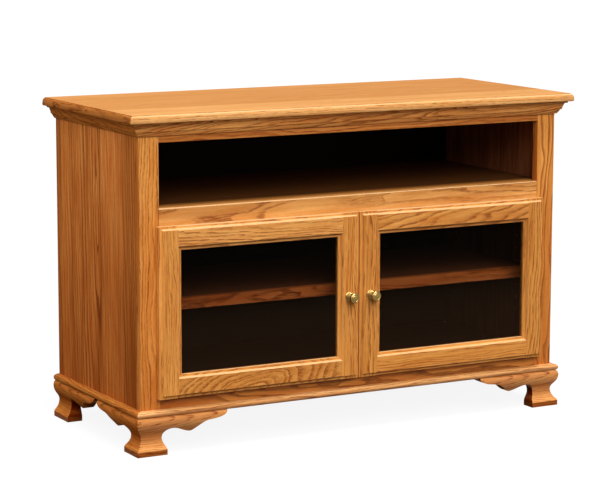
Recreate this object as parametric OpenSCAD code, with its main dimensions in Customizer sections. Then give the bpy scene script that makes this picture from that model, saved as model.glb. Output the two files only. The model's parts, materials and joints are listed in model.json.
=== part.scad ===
// Oak media console: an open bay over a cabinet with two glazed doors, on ogee bracket feet.
// Millimetres. X runs along the width, the front faces -Y, Z is up and the floor is at zero.
// Modules draw the case with the front of its face frame at y = 0, and at_case() moves that
// plane back so that the origin is under the middle of the whole object.

/* [Overall] */
// Width of the case between the outer faces of its sides
case_w = 1149; // [1000:1:1400]
// Depth of the case from the front of its face frame to its back
case_d = 480; // [430:1:560]
// Height from the floor to the top face
total_h = 799; // [740:1:900]
// How far the top stands out past the case at its front and sides
top_overhang = 35; // [30:1:60]
// Thickness of the top
top_t = 20; // [18:0.5:28]

/* [Top edge] */
// Width of the rounding on the edge of the top
edge_w = 6.5; // [4:0.5:10]
// Height of the small square step above the rounding
edge_fillet = 1.5; // [1:0.5:2.5]
// Height of the nose of the edge above the underside
edge_nose_z = 6; // [5:0.5:9]
// Radius under the nose
edge_under_r = 3.5; // [1:0.5:4.5]

/* [Crown moulding] */
// Height of the crown moulding under the top
crown_h = 32; // [28:1:40]
// How far the crown moulding stands out at its top
crown_out = 24; // [21:1:28]
// Height of the square fillet at the top of the crown
crown_fillet = 4.5; // [3:0.5:6]

/* [Base moulding] */
// Height of the half-round base moulding
base_h = 15.5; // [12:0.5:22]
// How far the base moulding stands out
base_out = 16; // [12:0.5:22]

/* [Face frame] */
// Thickness of the face frame
frame_t = 20; // [16:0.5:24]
// Width of each stile
stile_w = 50; // [44:1:70]
// Height of the top rail
top_rail_h = 48; // [44:1:70]
// Height of the middle rail
mid_rail_h = 50; // [40:1:70]
// Height of the bottom rail
bottom_rail_h = 50; // [44:1:70]
// Clear height of the open bay
bay_h = 152; // [120:1:200]

/* [Boards] */
// Thickness of the side panels
side_t = 19; // [16:0.5:24]
// Thickness of the deck and of the cabinet bottom
board_t = 19; // [16:0.5:24]
// Depth of the grooves in the sides that hold the deck and the bottom
dado_d = 6; // [4:0.5:8]
// Thickness of the back panel
back_t = 6; // [4:0.5:9]
// Width of the rabbet in each side that holds the back panel
back_lap = 10; // [8:0.5:13]
// Width of the cleats under the top
cleat_w = 38; // [30:1:50]
// Thickness of the cleats under the top
cleat_t = 19; // [16:0.5:24]
// Radius of the cable holes in the back panel
cable_r = 25.4; // [20:0.1:32]
// Distance of the cable holes from the left side panel
cable_in = 135; // [60:1:300]

/* [Adjustable shelf] */
// Height of the top face of the shelf above the cabinet bottom
shelf_up = 208; // [150:1:260]
// Thickness of the shelf board
shelf_t = 19; // [16:0.5:24]
// Height of the solid strip along the front edge of the shelf
nosing_h = 28; // [24:0.5:40]
// Thickness of that strip
nosing_t = 19; // [12:0.5:24]
// Distance of the shelf's front edge behind the front of the face frame
shelf_back = 80; // [60:1:120]
// Gap at each end of the shelf
shelf_gap = 1.5; // [1:0.1:3]
// Gap behind the shelf
shelf_rear_gap = 4; // [2:0.5:8]
// Number of pin holes in each column
pin_rows = 7; // [5:2:9]
// Spacing of the pin holes
pin_pitch = 32; // [25:1:36]
// Radius of a shelf pin
pin_r = 2.5; // [2:0.1:3]
// Depth of a pin hole
pin_hole_d = 10; // [8:0.5:12]
// Distance of the pin holes from the shelf's front and back edges
pin_inset = 50; // [40:1:80]

/* [Feet] */
// Height of the feet
foot_h = 91; // [80:1:110]
// How far the pad stands out past the case
pad_out = 15.5; // [12:0.5:20]
// Height of the straight band round the pad
pad_band = 12; // [8:1:16]
// How far the bulge stands out past the case
bulge_out = 16.5; // [13:0.5:20]
// How far the ankle stands out past the case
ankle_out = 1.2; // [0.6:0.1:4]
// How far the foot stands out where it meets the base moulding
foot_top_out = 11; // [8:0.5:12]
// Length of a foot's wing from the corner of the case
wing_l = 219; // [190:1:230]
// How much longer the side wing of a rear foot is
rear_more = 24; // [0:1:30]
// Length of the pad from the corner of the case
pad_l = 61; // [56:1:70]
// Depth of the foot stock behind the face of the case
foot_in = 23.5; // [22:0.5:28]
// Short sides of the three-cornered block inside each foot
block_w = 22; // [20:1:28]
// Thickness of the plain rear brackets
rear_t = 20; // [16:0.5:24]
// How much shorter a plain rear bracket is than the wings
rear_less = 16; // [0:1:20]
// Gap between the corner blocks and the floor
block_clear = 2; // [1:0.5:4]

/* [Doors] */
// How far each door laps over the face frame
overlay = 9; // [8.5:0.1:12]
// Gap between the two doors
meet_gap = 3; // [2:0.5:6]
// Gap between the backs of the doors and the face frame
standoff = 2.5; // [2.5:0.1:3.5]
// Thickness of a door
door_t = 21; // [19:0.5:24]
// Width of a door's stiles and rails with their moulded edge
door_frame_w = 57; // [50:1:70]
// Width of the moulding round the outside of a door
lip_w = 9.3; // [8:0.1:11]
// Depth of the moulding round the outside of a door
lip_d = 7; // [5:0.5:8]
// Width of the moulding round the glass
stick_w = 9.5; // [8:0.5:12]
// Depth of the moulding round the glass
stick_d = 7.2; // [5:0.1:8]
// Depth of the wood in front of the glass
glass_in = 12; // [11:0.5:13]
// Thickness of the glass
glass_t = 4; // [3:0.5:5]
// Gap round the edge of the glass
glass_gap = 1; // [0.5:0.1:2]
// Length of the tenons on the rails
tenon_l = 14; // [8:1:20]
// Thickness of the tenons
tenon_t = 7; // [5:0.5:7]
// Gap round the tenons
tenon_fit = 0.1; // [0.05:0.05:0.3]

/* [Knobs] */
// Radius of a knob's head
knob_r = 12.8; // [11:0.2:15]
// How far a knob stands out from its door
knob_out = 30; // [24:0.5:32]
// Radius of a knob's foot
knob_foot_r = 12.2; // [11:0.2:13]
// Radius of a knob's neck
knob_neck_r = 10.4; // [7:0.2:11]
// Radius of the knob screw
knob_screw_r = 2; // [1.8:0.1:2.3]

/* [Hinges] */
// Radius of a hinge cup
cup_r = 17.5; // [17:0.1:17.8]
// Width of wood between the cup and the edge of the door
cup_edge = 3; // [2.8:0.1:3]
// Depth of a hinge cup
cup_d = 11.5; // [11:0.1:12.5]
// Wall of a hinge cup
cup_wall = 0.5; // [0.4:0.1:0.6]
// Thickness of a cup's flange
flange_t = 1; // [0.8:0.1:1.2]
// Distance of the hinge axis from the edge of the door
pivot_in = 5.6; // [5.5:0.1:5.8]
// Depth of the hinge axis behind the back of the door
pivot_deep = 6; // [5.8:0.1:6.4]
// Radius of a hinge pin
hinge_pin_r = 0.9; // [0.8:0.05:1]
// Thickness of a hinge arm
arm_t = 1.5; // [1.2:0.1:1.6]
// Width of a hinge arm
arm_w = 7.6; // [6:0.2:7.6]
// Distance of each hinge from the top or bottom of its door
hinge_inset = 75; // [60:1:110]

/* [Fits and fasteners] */
// Gap between a sliding or glued joint's faces
joint_fit = 0.1; // [0.05:0.05:0.3]
// Gap round a screw or a pin
screw_fit = 0.05; // [0.03:0.01:0.1]
// Radius of the shank of a wood screw
screw_r = 1.9; // [1.5:0.1:2.2]
// Radius of the head of a wood screw
screw_head_r = 3.6; // [3:0.1:4.5]
// Height of the head of a wood screw
screw_head_h = 1.6; // [1.2:0.1:2.2]
// Number of screws along the top edge of the back panel
back_screws_n = 5; // [3:1:7]

/* [Hidden] */
$fn = 48;

// Places of the case
half_w = case_w / 2;
case_top = total_h - top_t;
bay_top = case_top - top_rail_h;
deck_top = bay_top - bay_h;
door_open_top = deck_top - mid_rail_h;
bottom_top = foot_h + bottom_rail_h;
open_half = half_w - stile_w;
inner_half = half_w - side_t;
back_y = case_d - back_t;
// How far the knobs reach in front of the face frame, and the plane of its front
reach = max(standoff + door_t + knob_out, top_overhang);
front_y = -(case_d - reach) / 2;
// How far a cutting shape runs past what it cuts
past = 5;

// Places of the shelf
shelf_top = bottom_top + shelf_up;
shelf_low = shelf_top - shelf_t;
pin_tab_t = 2;
pin_z = shelf_low - pin_tab_t - pin_r;
pin_ys = [shelf_back + pin_inset, back_y - shelf_rear_gap - pin_inset];
pin_zs = [for (i = [0 : pin_rows - 1]) pin_z + (i - (pin_rows - 1) / 2) * pin_pitch];

// Size and places of a door
door_w = open_half + overlay - meet_gap / 2;
door_low = bottom_top - overlay;
door_h = door_open_top + overlay - door_low;
body_w = door_frame_w - stick_w;
knob_x = door_w - door_frame_w / 2;
hinge_zs = [hinge_inset, door_h - hinge_inset];
cup_x = cup_edge + cup_r;

// Screws
// How deep the top screws and the foot screws bite
top_bite = 12;
foot_bite = 25;
top_screw_l = cleat_t + top_bite;
back_screw_l = 24;
foot_screw_l = board_t + foot_bite;
cup_screw_l = 12;
arm_screw_l = 16;
top_screw_xs = inner_half * [-0.8, -0.27, 0.27, 0.8];
top_screw_ys = [frame_t + cleat_w / 2, back_y - cleat_w / 2];
side_cleat_x = inner_half - cleat_w / 2;
// How far the outermost screws of the back panel are from the sides
back_screw_in = 60;
back_screw_xs = [for (i = [0 : back_screws_n - 1])
    (i / (back_screws_n - 1) - 0.5) * 2 * (inner_half - back_screw_in)];
back_screw_zs = [case_top - cleat_t / 2, deck_top - board_t / 2, bottom_top - board_t / 2];
side_screw_step = 90;
side_screw_zs = [deck_top - 2 * side_screw_step, bottom_top + side_screw_step,
    (deck_top + case_top) / 2];
block_screw_in = block_w / 3;
block_corner_x = half_w - foot_in;
block_corner_ys = [foot_in, case_d - rear_t];

oak = [0.81, 0.55, 0.29];
dark_stain = [0.16, 0.1, 0.06];
steel = [0.7, 0.7, 0.72];
brass = [0.78, 0.68, 0.38];
smoked = [0.1, 0.08, 0.07, 0.6];

// A quarter or other arc of an ellipse, as n steps after its first point
function arc(cx, cy, rx, ry, a0, a1, n) =
    [for (i = [1 : n]) let (a = a0 + (a1 - a0) * i / n) [cx + rx * cos(a), cy + ry * sin(a)]];

// A cubic curve from p to s with control points q and r, as n steps after its first point
function bend(p, q, r, s, n) =
    [for (i = [1 : n]) let (t = i / n, u = 1 - t)
        u * u * u * p + 3 * u * u * t * q + 3 * u * t * t * r + t * t * t * s];

function flip(pts) = [for (i = [len(pts) - 1 : -1 : 0]) [-pts[i][0], pts[i][1]]];
function negate(pts) = [for (p = pts) [-p[0], p[1]]];

// Edge of the top, from its top arris to its underside: [distance out, height]
function top_edge(out) = concat(
    [[out - edge_w, top_t], [out - edge_w, top_t - edge_fillet]],
    arc(out - edge_w, edge_nose_z, edge_w, top_t - edge_fillet - edge_nose_z, 90, 0, 8),
    [[out, edge_under_r]],
    arc(out - edge_under_r, edge_under_r, edge_under_r, edge_under_r, 0, -90, 4));

// Section of the crown moulding: [distance out, height above its lower edge]
crown_section = concat(
    [[0, 0], [4, 0]],
    bend([4, 0], [6.5, 3.2], [8.4, 6], [10.8, 11], 5),
    [[13.2, 11]],
    bend([13.2, 11], [14.6, 17], [15.6, 22], [crown_out - 5, crown_h - crown_fillet], 7),
    [[crown_out, crown_h - crown_fillet], [crown_out, crown_h], [0, crown_h]]);

// Section of the base moulding
base_section = concat(
    [[0, 0], [base_out * 0.68, 0]],
    bend([base_out * 0.68, 0], [base_out * 0.86, 0.8], [base_out, base_h * 0.26],
         [base_out, base_h * 0.5], 5),
    bend([base_out, base_h * 0.5], [base_out, base_h * 0.82], [base_out * 0.7, base_h * 0.96],
         [base_out * 0.25, base_h], 7),
    [[0, base_h]]);

// Section of a foot: how far it stands out of the case at each height
ankle_z = foot_h * 0.466;
bulge_z = foot_h * 0.864;
mid_z = foot_h * 0.63;
mid_out = ankle_out + (bulge_out - ankle_out) * 0.46;
flare = [ankle_out + (pad_out - ankle_out) * 0.63, pad_band + (ankle_z - pad_band) * 0.25];
foot_section = concat(
    [[-foot_in, 0], [pad_out, 0], [pad_out, pad_band]],
    bend([pad_out, pad_band], [pad_out - 1, pad_band + 3], [flare[0] + 2, flare[1] - 2],
         flare, 2),
    bend(flare, [ankle_out + 3, flare[1] + 6], [ankle_out, ankle_z - 8],
         [ankle_out, ankle_z], 5),
    bend([ankle_out, ankle_z], [ankle_out, ankle_z + 5], [ankle_out + 3.5, mid_z - 4.5],
         [mid_out, mid_z], 4),
    bend([mid_out, mid_z], [mid_out + 5, mid_z + 6], [bulge_out, bulge_z - 7],
         [bulge_out, bulge_z], 5),
    bend([bulge_out, bulge_z], [bulge_out, bulge_z + 6], [foot_top_out + 3.5, foot_h - 1],
         [foot_top_out, foot_h], 5),
    [[-foot_in, foot_h]]);

// The side wings of one side leave a small gap in the middle of the case
side_wing_gap = 4;
side_wing_l = min(wing_l, (case_d - rear_more - side_wing_gap) / 2);

// Outline of a wing of length l seen square on: [distance from the corner of the case, height]
scroll_z = foot_h * 0.67;
cusp_z = foot_h * 0.523;
shoulder_z = foot_h * 0.795;
ankle_l = pad_l - 8.5;
function wing_edge(l) = let (cusp_l = l * 0.571) concat(
    [[pad_l, 0], [pad_l, pad_band]],
    bend([pad_l, pad_band], [pad_l - 1, pad_band + 9], [ankle_l, ankle_z - 15],
         [ankle_l, ankle_z - 5], 4),
    bend([ankle_l, ankle_z - 5], [ankle_l, scroll_z - 9], [ankle_l + 10.5, scroll_z],
         [ankle_l + 24, scroll_z], 6),
    bend([ankle_l + 24, scroll_z], [ankle_l + 40, scroll_z + 1], [cusp_l - 17, cusp_z + 1],
         [cusp_l, cusp_z], 5),
    bend([cusp_l, cusp_z], [cusp_l + 15, cusp_z + 1], [l * 0.69, shoulder_z],
         [l * 0.8, shoulder_z], 7),
    bend([l * 0.8, shoulder_z], [l * 0.86, shoulder_z + 1.5], [l * 0.905, shoulder_z + 2.5],
         [l * 0.943, shoulder_z + 6], 4),
    bend([l * 0.943, shoulder_z + 6], [l * 0.977, shoulder_z + 9], [l, foot_h - 5],
         [l, foot_h], 4));

// Outer edge of a door, from its back arris to its face: [distance in, depth from the back]
lip_step = 1;
lip_cove_w = 5.3;
door_edge = concat(
    [[0, 0], [0, door_t - lip_d], [lip_w - lip_step - lip_cove_w, door_t - lip_d]],
    arc(lip_w - lip_step - lip_cove_w, door_t - lip_step, lip_cove_w, lip_d - lip_step,
        -90, 0, 6),
    [[lip_w, door_t - lip_step], [lip_w, door_t]]);

// Moulding round the glass, from its inner arris to the face: [distance in from the opening, depth]
stick_step = 1.2;
stick_cove_w = 5.8;
stick_edge = concat(
    [[0, -past], [0, door_t - stick_d], [stick_w - stick_step - stick_cove_w, door_t - stick_d]],
    arc(stick_w - stick_step - stick_cove_w, door_t - stick_step, stick_cove_w,
        stick_d - stick_step, -90, 0, 6),
    [[stick_w, door_t - stick_step], [stick_w, door_t + past]]);

// Moves the case so that the origin is under the middle of the object
module at_case() {
    translate([0, front_y, 0]) children();
}

// Runs a section [y, z] along X, centred
module run_x(len, pts) {
    rotate([90, 0, 90]) translate([0, 0, -len / 2]) linear_extrude(len) polygon(pts);
}

// Runs a section [x, z] along Y from y0 to y1
module run_y(y0, y1, pts) {
    translate([0, y1, 0]) rotate([90, 0, 0]) linear_extrude(y1 - y0) polygon(pts);
}

// A screw that points up: its head lies below z = 0
module screw(len, r = screw_r, head_r = screw_head_r, head_h = screw_head_h) {
    cylinder(h = len, r = r);
    translate([0, 0, -head_h]) cylinder(h = head_h, r1 = head_r * 0.75, r2 = head_r);
}

// The hole for that screw's shank
module pilot(len, r = screw_r) {
    translate([0, 0, -past]) cylinder(h = len + past + 1, r = r + screw_fit);
}

// A countersunk screw that points up, its head flush with z = 0
module flush_screw(len) {
    cylinder(h = len, r = screw_r);
    cylinder(h = screw_head_h, r1 = screw_head_r, r2 = screw_r);
}

// The hole for a countersunk screw in the piece that its head sits in
module flush_hole(len) {
    pilot(len);
    translate([0, 0, -past]) cylinder(h = past, r = screw_head_r + screw_fit);
    cylinder(h = screw_head_h + screw_fit, r1 = screw_head_r + screw_fit,
             r2 = screw_r + screw_fit);
}

// The two cuts that mitre a piece along the front of the case
module front_mitre(z0, h, out, inner = 0) {
    translate([0, 0, z0]) linear_extrude(h) polygon([
        [-half_w - out, -out], [half_w + out, -out],
        [half_w - inner, inner], [-half_w + inner, inner]]);
}

// The same mitre for the piece along the left side
module side_mitre(z0, h, out, inner = 0) {
    translate([0, 0, z0]) linear_extrude(h) polygon([
        [-half_w - out, -out], [-half_w + inner, inner],
        [-half_w + inner, case_d], [-half_w - out, case_d]]);
}

// A moulding along the front, from its section [out, height]
module front_moulding(section, z0, h, out) {
    intersection() {
        translate([0, 0, z0]) run_x(case_w + 4 * out, negate(section));
        front_mitre(z0 - past, h + 2 * past, out + past);
    }
}

// The same moulding along the left side
module left_moulding(section, z0, h, out) {
    intersection() {
        translate([-half_w, 0, z0]) run_y(-2 * out, case_d, negate(section));
        side_mitre(z0 - past, h + 2 * past, out + past);
    }
}

module top_slab() {
    color(oak) at_case() difference() {
        translate([0, 0, case_top]) intersection() {
            run_y(-top_overhang - past, case_d + past,
                  concat(top_edge(half_w + top_overhang),
                         flip(top_edge(half_w + top_overhang))));
            run_x(case_w + 4 * top_overhang,
                  concat(negate(top_edge(top_overhang)), [[case_d, 0], [case_d, top_t]]));
        }
        top_screw_places() pilot(top_screw_l);
    }
}

// Where the screws come up through the cleats into the top
module top_screw_places() {
    for (x = top_screw_xs, y = top_screw_ys)
        translate([x, y, case_top - cleat_t]) children();
    for (side = [-1, 1])
        translate([side * side_cleat_x, case_d / 2, case_top - cleat_t]) children();
}

module crown_front() {
    color(oak) at_case() front_moulding(crown_section, case_top - crown_h, crown_h, crown_out);
}

module crown_left() {
    color(oak) at_case() left_moulding(crown_section, case_top - crown_h, crown_h, crown_out);
}

module crown_right() {
    color(oak) mirror([1, 0, 0]) crown_left();
}

module base_moulding_front() {
    color(oak) at_case() front_moulding(base_section, foot_h, base_h, base_out);
}

module base_moulding_left() {
    color(oak) at_case() left_moulding(base_section, foot_h, base_h, base_out);
}

module base_moulding_right() {
    color(oak) mirror([1, 0, 0]) base_moulding_left();
}

// Height of the shoulder above and below each tenon of the face frame
frame_shoulder = 7;

// A rail's tenon box, or the mortise that takes it when grown by the fit
module frame_tenon(z0, h, grow = 0) {
    translate([open_half - past, (frame_t - tenon_t) / 2 - grow, z0 + frame_shoulder - grow])
        cube([tenon_l + past + grow, tenon_t + 2 * grow, h - 2 * frame_shoulder + 2 * grow]);
}

module frame_stile() {
    difference() {
        translate([open_half, 0, foot_h]) cube([stile_w, frame_t, case_top - foot_h]);
        frame_tenon(foot_h, bottom_rail_h, tenon_fit);
        frame_tenon(door_open_top, mid_rail_h, tenon_fit);
        frame_tenon(bay_top, top_rail_h, tenon_fit);
        for (z = hinge_zs, s = arm_screw_zs)
            translate([open_half, arm_screw_y, door_low + z + s]) rotate([0, 90, 0])
                pilot(arm_screw_l);
    }
}

module right_frame_stile() {
    color(oak) at_case() frame_stile();
}

module left_frame_stile() {
    color(oak) at_case() mirror([1, 0, 0]) frame_stile();
}

module frame_rail(z0, h) {
    translate([-open_half, 0, z0]) cube([2 * open_half, frame_t, h]);
    frame_tenon(z0, h);
    mirror([1, 0, 0]) frame_tenon(z0, h);
}

module top_frame_rail() {
    color(oak) at_case() frame_rail(bay_top, top_rail_h);
}

module middle_frame_rail() {
    color(oak) at_case() frame_rail(door_open_top, mid_rail_h);
}

module bottom_frame_rail() {
    color(oak) at_case() frame_rail(foot_h, bottom_rail_h);
}

// The groove in the right side panel for a board whose top face is at z
module dado(z) {
    translate([inner_half - past, frame_t - past, z - board_t - joint_fit])
        cube([dado_d + past + joint_fit, case_d, board_t + 2 * joint_fit]);
}

module side_panel() {
    difference() {
        translate([inner_half, frame_t, foot_h])
            cube([side_t, case_d - frame_t, case_top - foot_h]);
        dado(deck_top);
        dado(bottom_top);
        translate([inner_half - past, back_y - joint_fit, foot_h - past])
            cube([back_lap + past + joint_fit, case_d, case_top]);
        for (y = pin_ys, z = pin_zs)
            translate([inner_half - past, y, z]) rotate([0, 90, 0])
                cylinder(h = pin_hole_d + past, r = pin_r + screw_fit);
        side_screw_places() pilot(back_screw_l);
    }
}

module right_side_panel() {
    color(oak) at_case() side_panel();
}

module left_side_panel() {
    color(oak) at_case() mirror([1, 0, 0]) side_panel();
}

// Screws through the back panel into the right side, pointing to the front
module side_screw_places() {
    for (z = side_screw_zs)
        translate([inner_half + back_lap / 2, case_d, z]) rotate([90, 0, 0]) children();
}

// Screws through the back panel into the boards and the rear cleat
module board_screw_places() {
    for (x = back_screw_xs, z = back_screw_zs)
        translate([x, case_d, z]) rotate([90, 0, 0]) children();
}

module cable_holes() {
    for (z = [(deck_top + bay_top) / 2, (shelf_top + door_open_top) / 2])
        translate([cable_in - inner_half, back_y - past, z]) rotate([-90, 0, 0])
            cylinder(h = back_t + 2 * past, r = cable_r);
}

module back_panel() {
    color(dark_stain) at_case() difference() {
        translate([-inner_half - back_lap, back_y, foot_h])
            cube([2 * (inner_half + back_lap), back_t, case_top - foot_h]);
        cable_holes();
        board_screw_places() flush_hole(back_screw_l);
        side_screw_places() flush_hole(back_screw_l);
        mirror([1, 0, 0]) side_screw_places() flush_hole(back_screw_l);
    }
}

// A board between the side panels, let into their grooves
module board(z) {
    translate([-inner_half - dado_d, frame_t, z - board_t])
        cube([2 * (inner_half + dado_d), back_y - frame_t, board_t]);
}

module media_deck() {
    color(dark_stain) at_case() difference() {
        board(deck_top);
        board_screw_places() pilot(back_screw_l);
    }
}

module cabinet_bottom() {
    color(dark_stain) at_case() difference() {
        board(bottom_top);
        board_screw_places() pilot(back_screw_l);
        foot_screw_places() flush_hole(foot_screw_l);
    }
}

// Four strips flat under the top: one behind the top rail, one along the back, two between
module top_cleats() {
    color(oak) at_case() difference() {
        union() {
            for (y = top_screw_ys)
                translate([-inner_half + joint_fit, y - cleat_w / 2, case_top - cleat_t])
                    cube([2 * (inner_half - joint_fit), cleat_w, cleat_t]);
            for (side = [-1, 1])
                translate([side * side_cleat_x - (cleat_w - joint_fit) / 2,
                           top_screw_ys[0] + cleat_w / 2 + joint_fit, case_top - cleat_t])
                    cube([cleat_w - joint_fit, top_screw_ys[1] - top_screw_ys[0] - cleat_w
                          - 2 * joint_fit, cleat_t]);
        }
        top_screw_places() pilot(top_screw_l);
        board_screw_places() pilot(back_screw_l);
    }
}

module top_screws() {
    color(steel) at_case() top_screw_places() screw(top_screw_l);
}

module back_screws() {
    color(steel) at_case() {
        board_screw_places() flush_screw(back_screw_l);
        side_screw_places() flush_screw(back_screw_l);
        mirror([1, 0, 0]) side_screw_places() flush_screw(back_screw_l);
    }
}

module adjustable_shelf() {
    shelf_y = shelf_back + nosing_t;
    color(dark_stain) at_case() translate([-inner_half + shelf_gap, shelf_y, shelf_low])
        cube([2 * (inner_half - shelf_gap), back_y - shelf_rear_gap - shelf_y, shelf_t]);
}

module shelf_nosing() {
    color(oak) at_case() translate([-inner_half + shelf_gap, shelf_back, shelf_top - nosing_h])
        cube([2 * (inner_half - shelf_gap), nosing_t, nosing_h]);
}

// A pin on the right side: a peg in its hole, and a tab with a flat top under the shelf
module shelf_pin() {
    pin_tab_w = 9;
    pin_tab_l = 11;
    translate([-pin_tab_l, -pin_tab_w / 2, pin_r]) cube([pin_tab_l, pin_tab_w, pin_tab_t]);
    translate([-pin_tab_t, -pin_tab_w / 2, -pin_tab_w])
        cube([pin_tab_t, pin_tab_w, pin_tab_w + pin_r + pin_tab_t / 2]);
    translate([-pin_tab_t / 2, 0, 0]) rotate([0, 90, 0])
        cylinder(h = pin_hole_d - 1, r = pin_r);
}

module shelf_pins() {
    color(steel) at_case() for (side = [0, 1], y = pin_ys)
        mirror([side, 0, 0]) translate([inner_half, y, pin_z]) shelf_pin();
}

// A foot's wing of length l, with the corner of the case at the origin, the wing along +X and
// its face towards -Y. A mitred wing meets its neighbour on the diagonal, and a square one
// begins at x = -more.
module wing(l, mitred, more = 0) {
    far = 40;
    intersection() {
        run_y(-far, foot_in + 1, concat([[-far, 0]], wing_edge(l), [[-far, foot_h]]));
        translate([l / 2, 0, 0]) run_x(l + 4 * far, negate(foot_section));
        if (mitred)
            translate([0, 0, -1]) linear_extrude(foot_h + 2) polygon([
                [-far, -far], [l + far, -far], [l + far, foot_in],
                [foot_in, foot_in]]);
        else
            translate([-more, -far, -1]) cube([l + more + far, far + foot_in, foot_h + 2]);
    }
}

module front_left_foot_front() {
    color(oak) at_case() translate([-half_w, 0, 0]) wing(wing_l, true);
}

module front_left_foot_side() {
    color(oak) at_case() translate([-half_w, 0, 0]) mirror([1, -1, 0]) wing(side_wing_l, true);
}

module front_right_foot_front() {
    color(oak) mirror([1, 0, 0]) front_left_foot_front();
}

module front_right_foot_side() {
    color(oak) mirror([1, 0, 0]) front_left_foot_side();
}

module rear_left_foot_side() {
    color(oak) at_case() translate([-half_w, case_d - rear_more, 0]) mirror([0, 1, 0])
        mirror([1, -1, 0]) wing(side_wing_l, false, rear_more);
}

module rear_right_foot_side() {
    color(oak) mirror([1, 0, 0]) rear_left_foot_side();
}

// A plain bracket across the back of a foot, cut to the same outline
module rear_left_foot_back() {
    color(oak) at_case() translate([-half_w, 0, 0])
        run_y(case_d - rear_t, case_d,
              concat([[foot_in, 0]], [for (p = wing_edge(wing_l)) [p[0] - rear_less, p[1]]],
                     [[foot_in, foot_h]]));
}

module rear_right_foot_back() {
    color(oak) mirror([1, 0, 0]) rear_left_foot_back();
}

// The inner corner of each foot, with +X and +Y along its two wings
module block_corners() {
    for (side = [0, 1], back = [0, 1])
        mirror([side, 0, 0]) translate([-block_corner_x, block_corner_ys[back], 0])
            mirror([0, back, 0]) children();
}

// Screws down through the cabinet bottom into the corner blocks
module foot_screw_places() {
    block_corners() translate([block_screw_in, block_screw_in, bottom_top])
        mirror([0, 0, 1]) children();
}

module foot_screws() {
    color(steel) at_case() foot_screw_places() flush_screw(foot_screw_l);
}

module foot_corner_blocks() {
    color(oak) at_case() difference() {
        block_corners() translate([0, 0, block_clear])
            linear_extrude(bottom_top - board_t - block_clear)
                polygon([[0, 0], [block_w, 0], [0, block_w]]);
        foot_screw_places() pilot(foot_screw_l);
    }
}

// Places of a hinge arm, from the hinge axis of the left door
edge_x = overlay - pivot_in;
frame_face_y = pivot_deep + standoff;
corner_r = norm([pivot_in, pivot_deep]);
hook_r = corner_r + 0.35;
plate_h = 44;
plate_l = frame_t - 3;
arm_screw_y = plate_l * 0.6;
arm_screw_zs = [-15, 15];

// A hinge arm, drawn round the hinge axis: a curl on the pin, a hook that reaches round the
// edge of the door, and a plate on the inner edge of the face frame
module hinge_arm() {
    curl_r = hinge_pin_r + screw_fit + 0.55;
    hook_low = -20;
    hook_high = 66;
    sector_r = 3 * hook_r;
    difference() {
        union() {
            translate([0, 0, -arm_w / 2]) linear_extrude(arm_w) {
                circle(r = curl_r);
                rotate(hook_low) translate([0, -arm_t / 2]) square([hook_r + arm_t / 2, arm_t]);
                intersection() {
                    difference() {
                        circle(r = hook_r + arm_t);
                        circle(r = hook_r);
                    }
                    polygon([[0, 0],
                             sector_r * [cos(hook_low - 4), sin(hook_low - 4)],
                             sector_r * [1, 0.4],
                             sector_r * [cos(hook_high), sin(hook_high)]]);
                }
                translate([edge_x, frame_face_y - 0.4]) square([arm_t, plate_l]);
            }
            translate([edge_x, frame_face_y, -plate_h / 2]) cube([arm_t, plate_l, plate_h]);
        }
        cylinder(h = 2 * arm_w, r = hinge_pin_r + screw_fit, center = true);
        for (s = arm_screw_zs)
            translate([edge_x - past, frame_face_y + arm_screw_y, s]) rotate([0, 90, 0])
                cylinder(h = 3 * past, r = screw_r + screw_fit);
    }
}

// Where the left door's hinge axes are
module hinge_places() {
    for (z = hinge_zs)
        translate([-open_half - overlay + pivot_in, -standoff - pivot_deep, door_low + z])
            children();
}

module left_hinge_arms() {
    color(steel) at_case() hinge_places() hinge_arm();
}

module right_hinge_arms() {
    color(steel) mirror([1, 0, 0]) left_hinge_arms();
}

module hinge_arm_screws() {
    color(steel) at_case() for (side = [0, 1], z = hinge_zs, s = arm_screw_zs)
        mirror([side, 0, 0])
            translate([open_half - arm_t, arm_screw_y, door_low + z + s]) rotate([0, 90, 0])
                screw(arm_screw_l);
}

// Everything below is drawn for the left door: x = 0 at its hinge edge, y = 0 at its back
module at_left_door() {
    at_case() translate([-open_half - overlay, -standoff, door_low]) children();
}

// Rotates a door's section, [distance, depth], so that it runs along Z or along X
module door_run_z(pts) {
    mirror([0, 1, 0]) translate([0, 0, -past]) linear_extrude(door_h + 2 * past) polygon(pts);
}

module door_run_x(pts) {
    translate([-past, 0, 0]) mirror([0, 1, 0]) mirror([1, 0, -1])
        linear_extrude(door_w + 2 * past) polygon(pts);
}

function both(edge, size) =
    concat(edge, [for (i = [len(edge) - 1 : -1 : 0]) [size - edge[i][0], edge[i][1]]]);

function inset(edge, d) = [for (p = edge) [d - p[0], p[1]]];

// The door with its moulded outer edge, its moulded window and the rabbet for the glass
module door_blank() {
    window = inset(stick_edge, door_frame_w);
    difference() {
        intersection() {
            door_run_z(both(door_edge, door_w));
            door_run_x(both(door_edge, door_h));
        }
        intersection() {
            door_run_z(both(window, door_w));
            door_run_x(both(window, door_h));
        }
        translate([body_w, -door_t + glass_in, body_w])
            cube([door_w - 2 * body_w, door_t, door_h - 2 * body_w]);
    }
}

// The part of the door that a stile or a rail takes, seen square on
module stile_region() {
    rotate([90, 0, 0]) translate([0, 0, -past])
        linear_extrude(door_t + 2 * past) polygon([
            [-past, -past], [body_w, -past], [body_w, body_w], [door_frame_w, door_frame_w],
            [door_frame_w, door_h - door_frame_w], [body_w, door_h - body_w],
            [body_w, door_h + past], [-past, door_h + past]]);
}

module rail_region() {
    rotate([90, 0, 0]) translate([0, 0, -past])
        linear_extrude(door_t + 2 * past) polygon([
            [body_w, -past], [door_w - body_w, -past], [door_w - body_w, body_w],
            [door_w - door_frame_w, door_frame_w], [door_frame_w, door_frame_w],
            [body_w, body_w]]);
}

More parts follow.
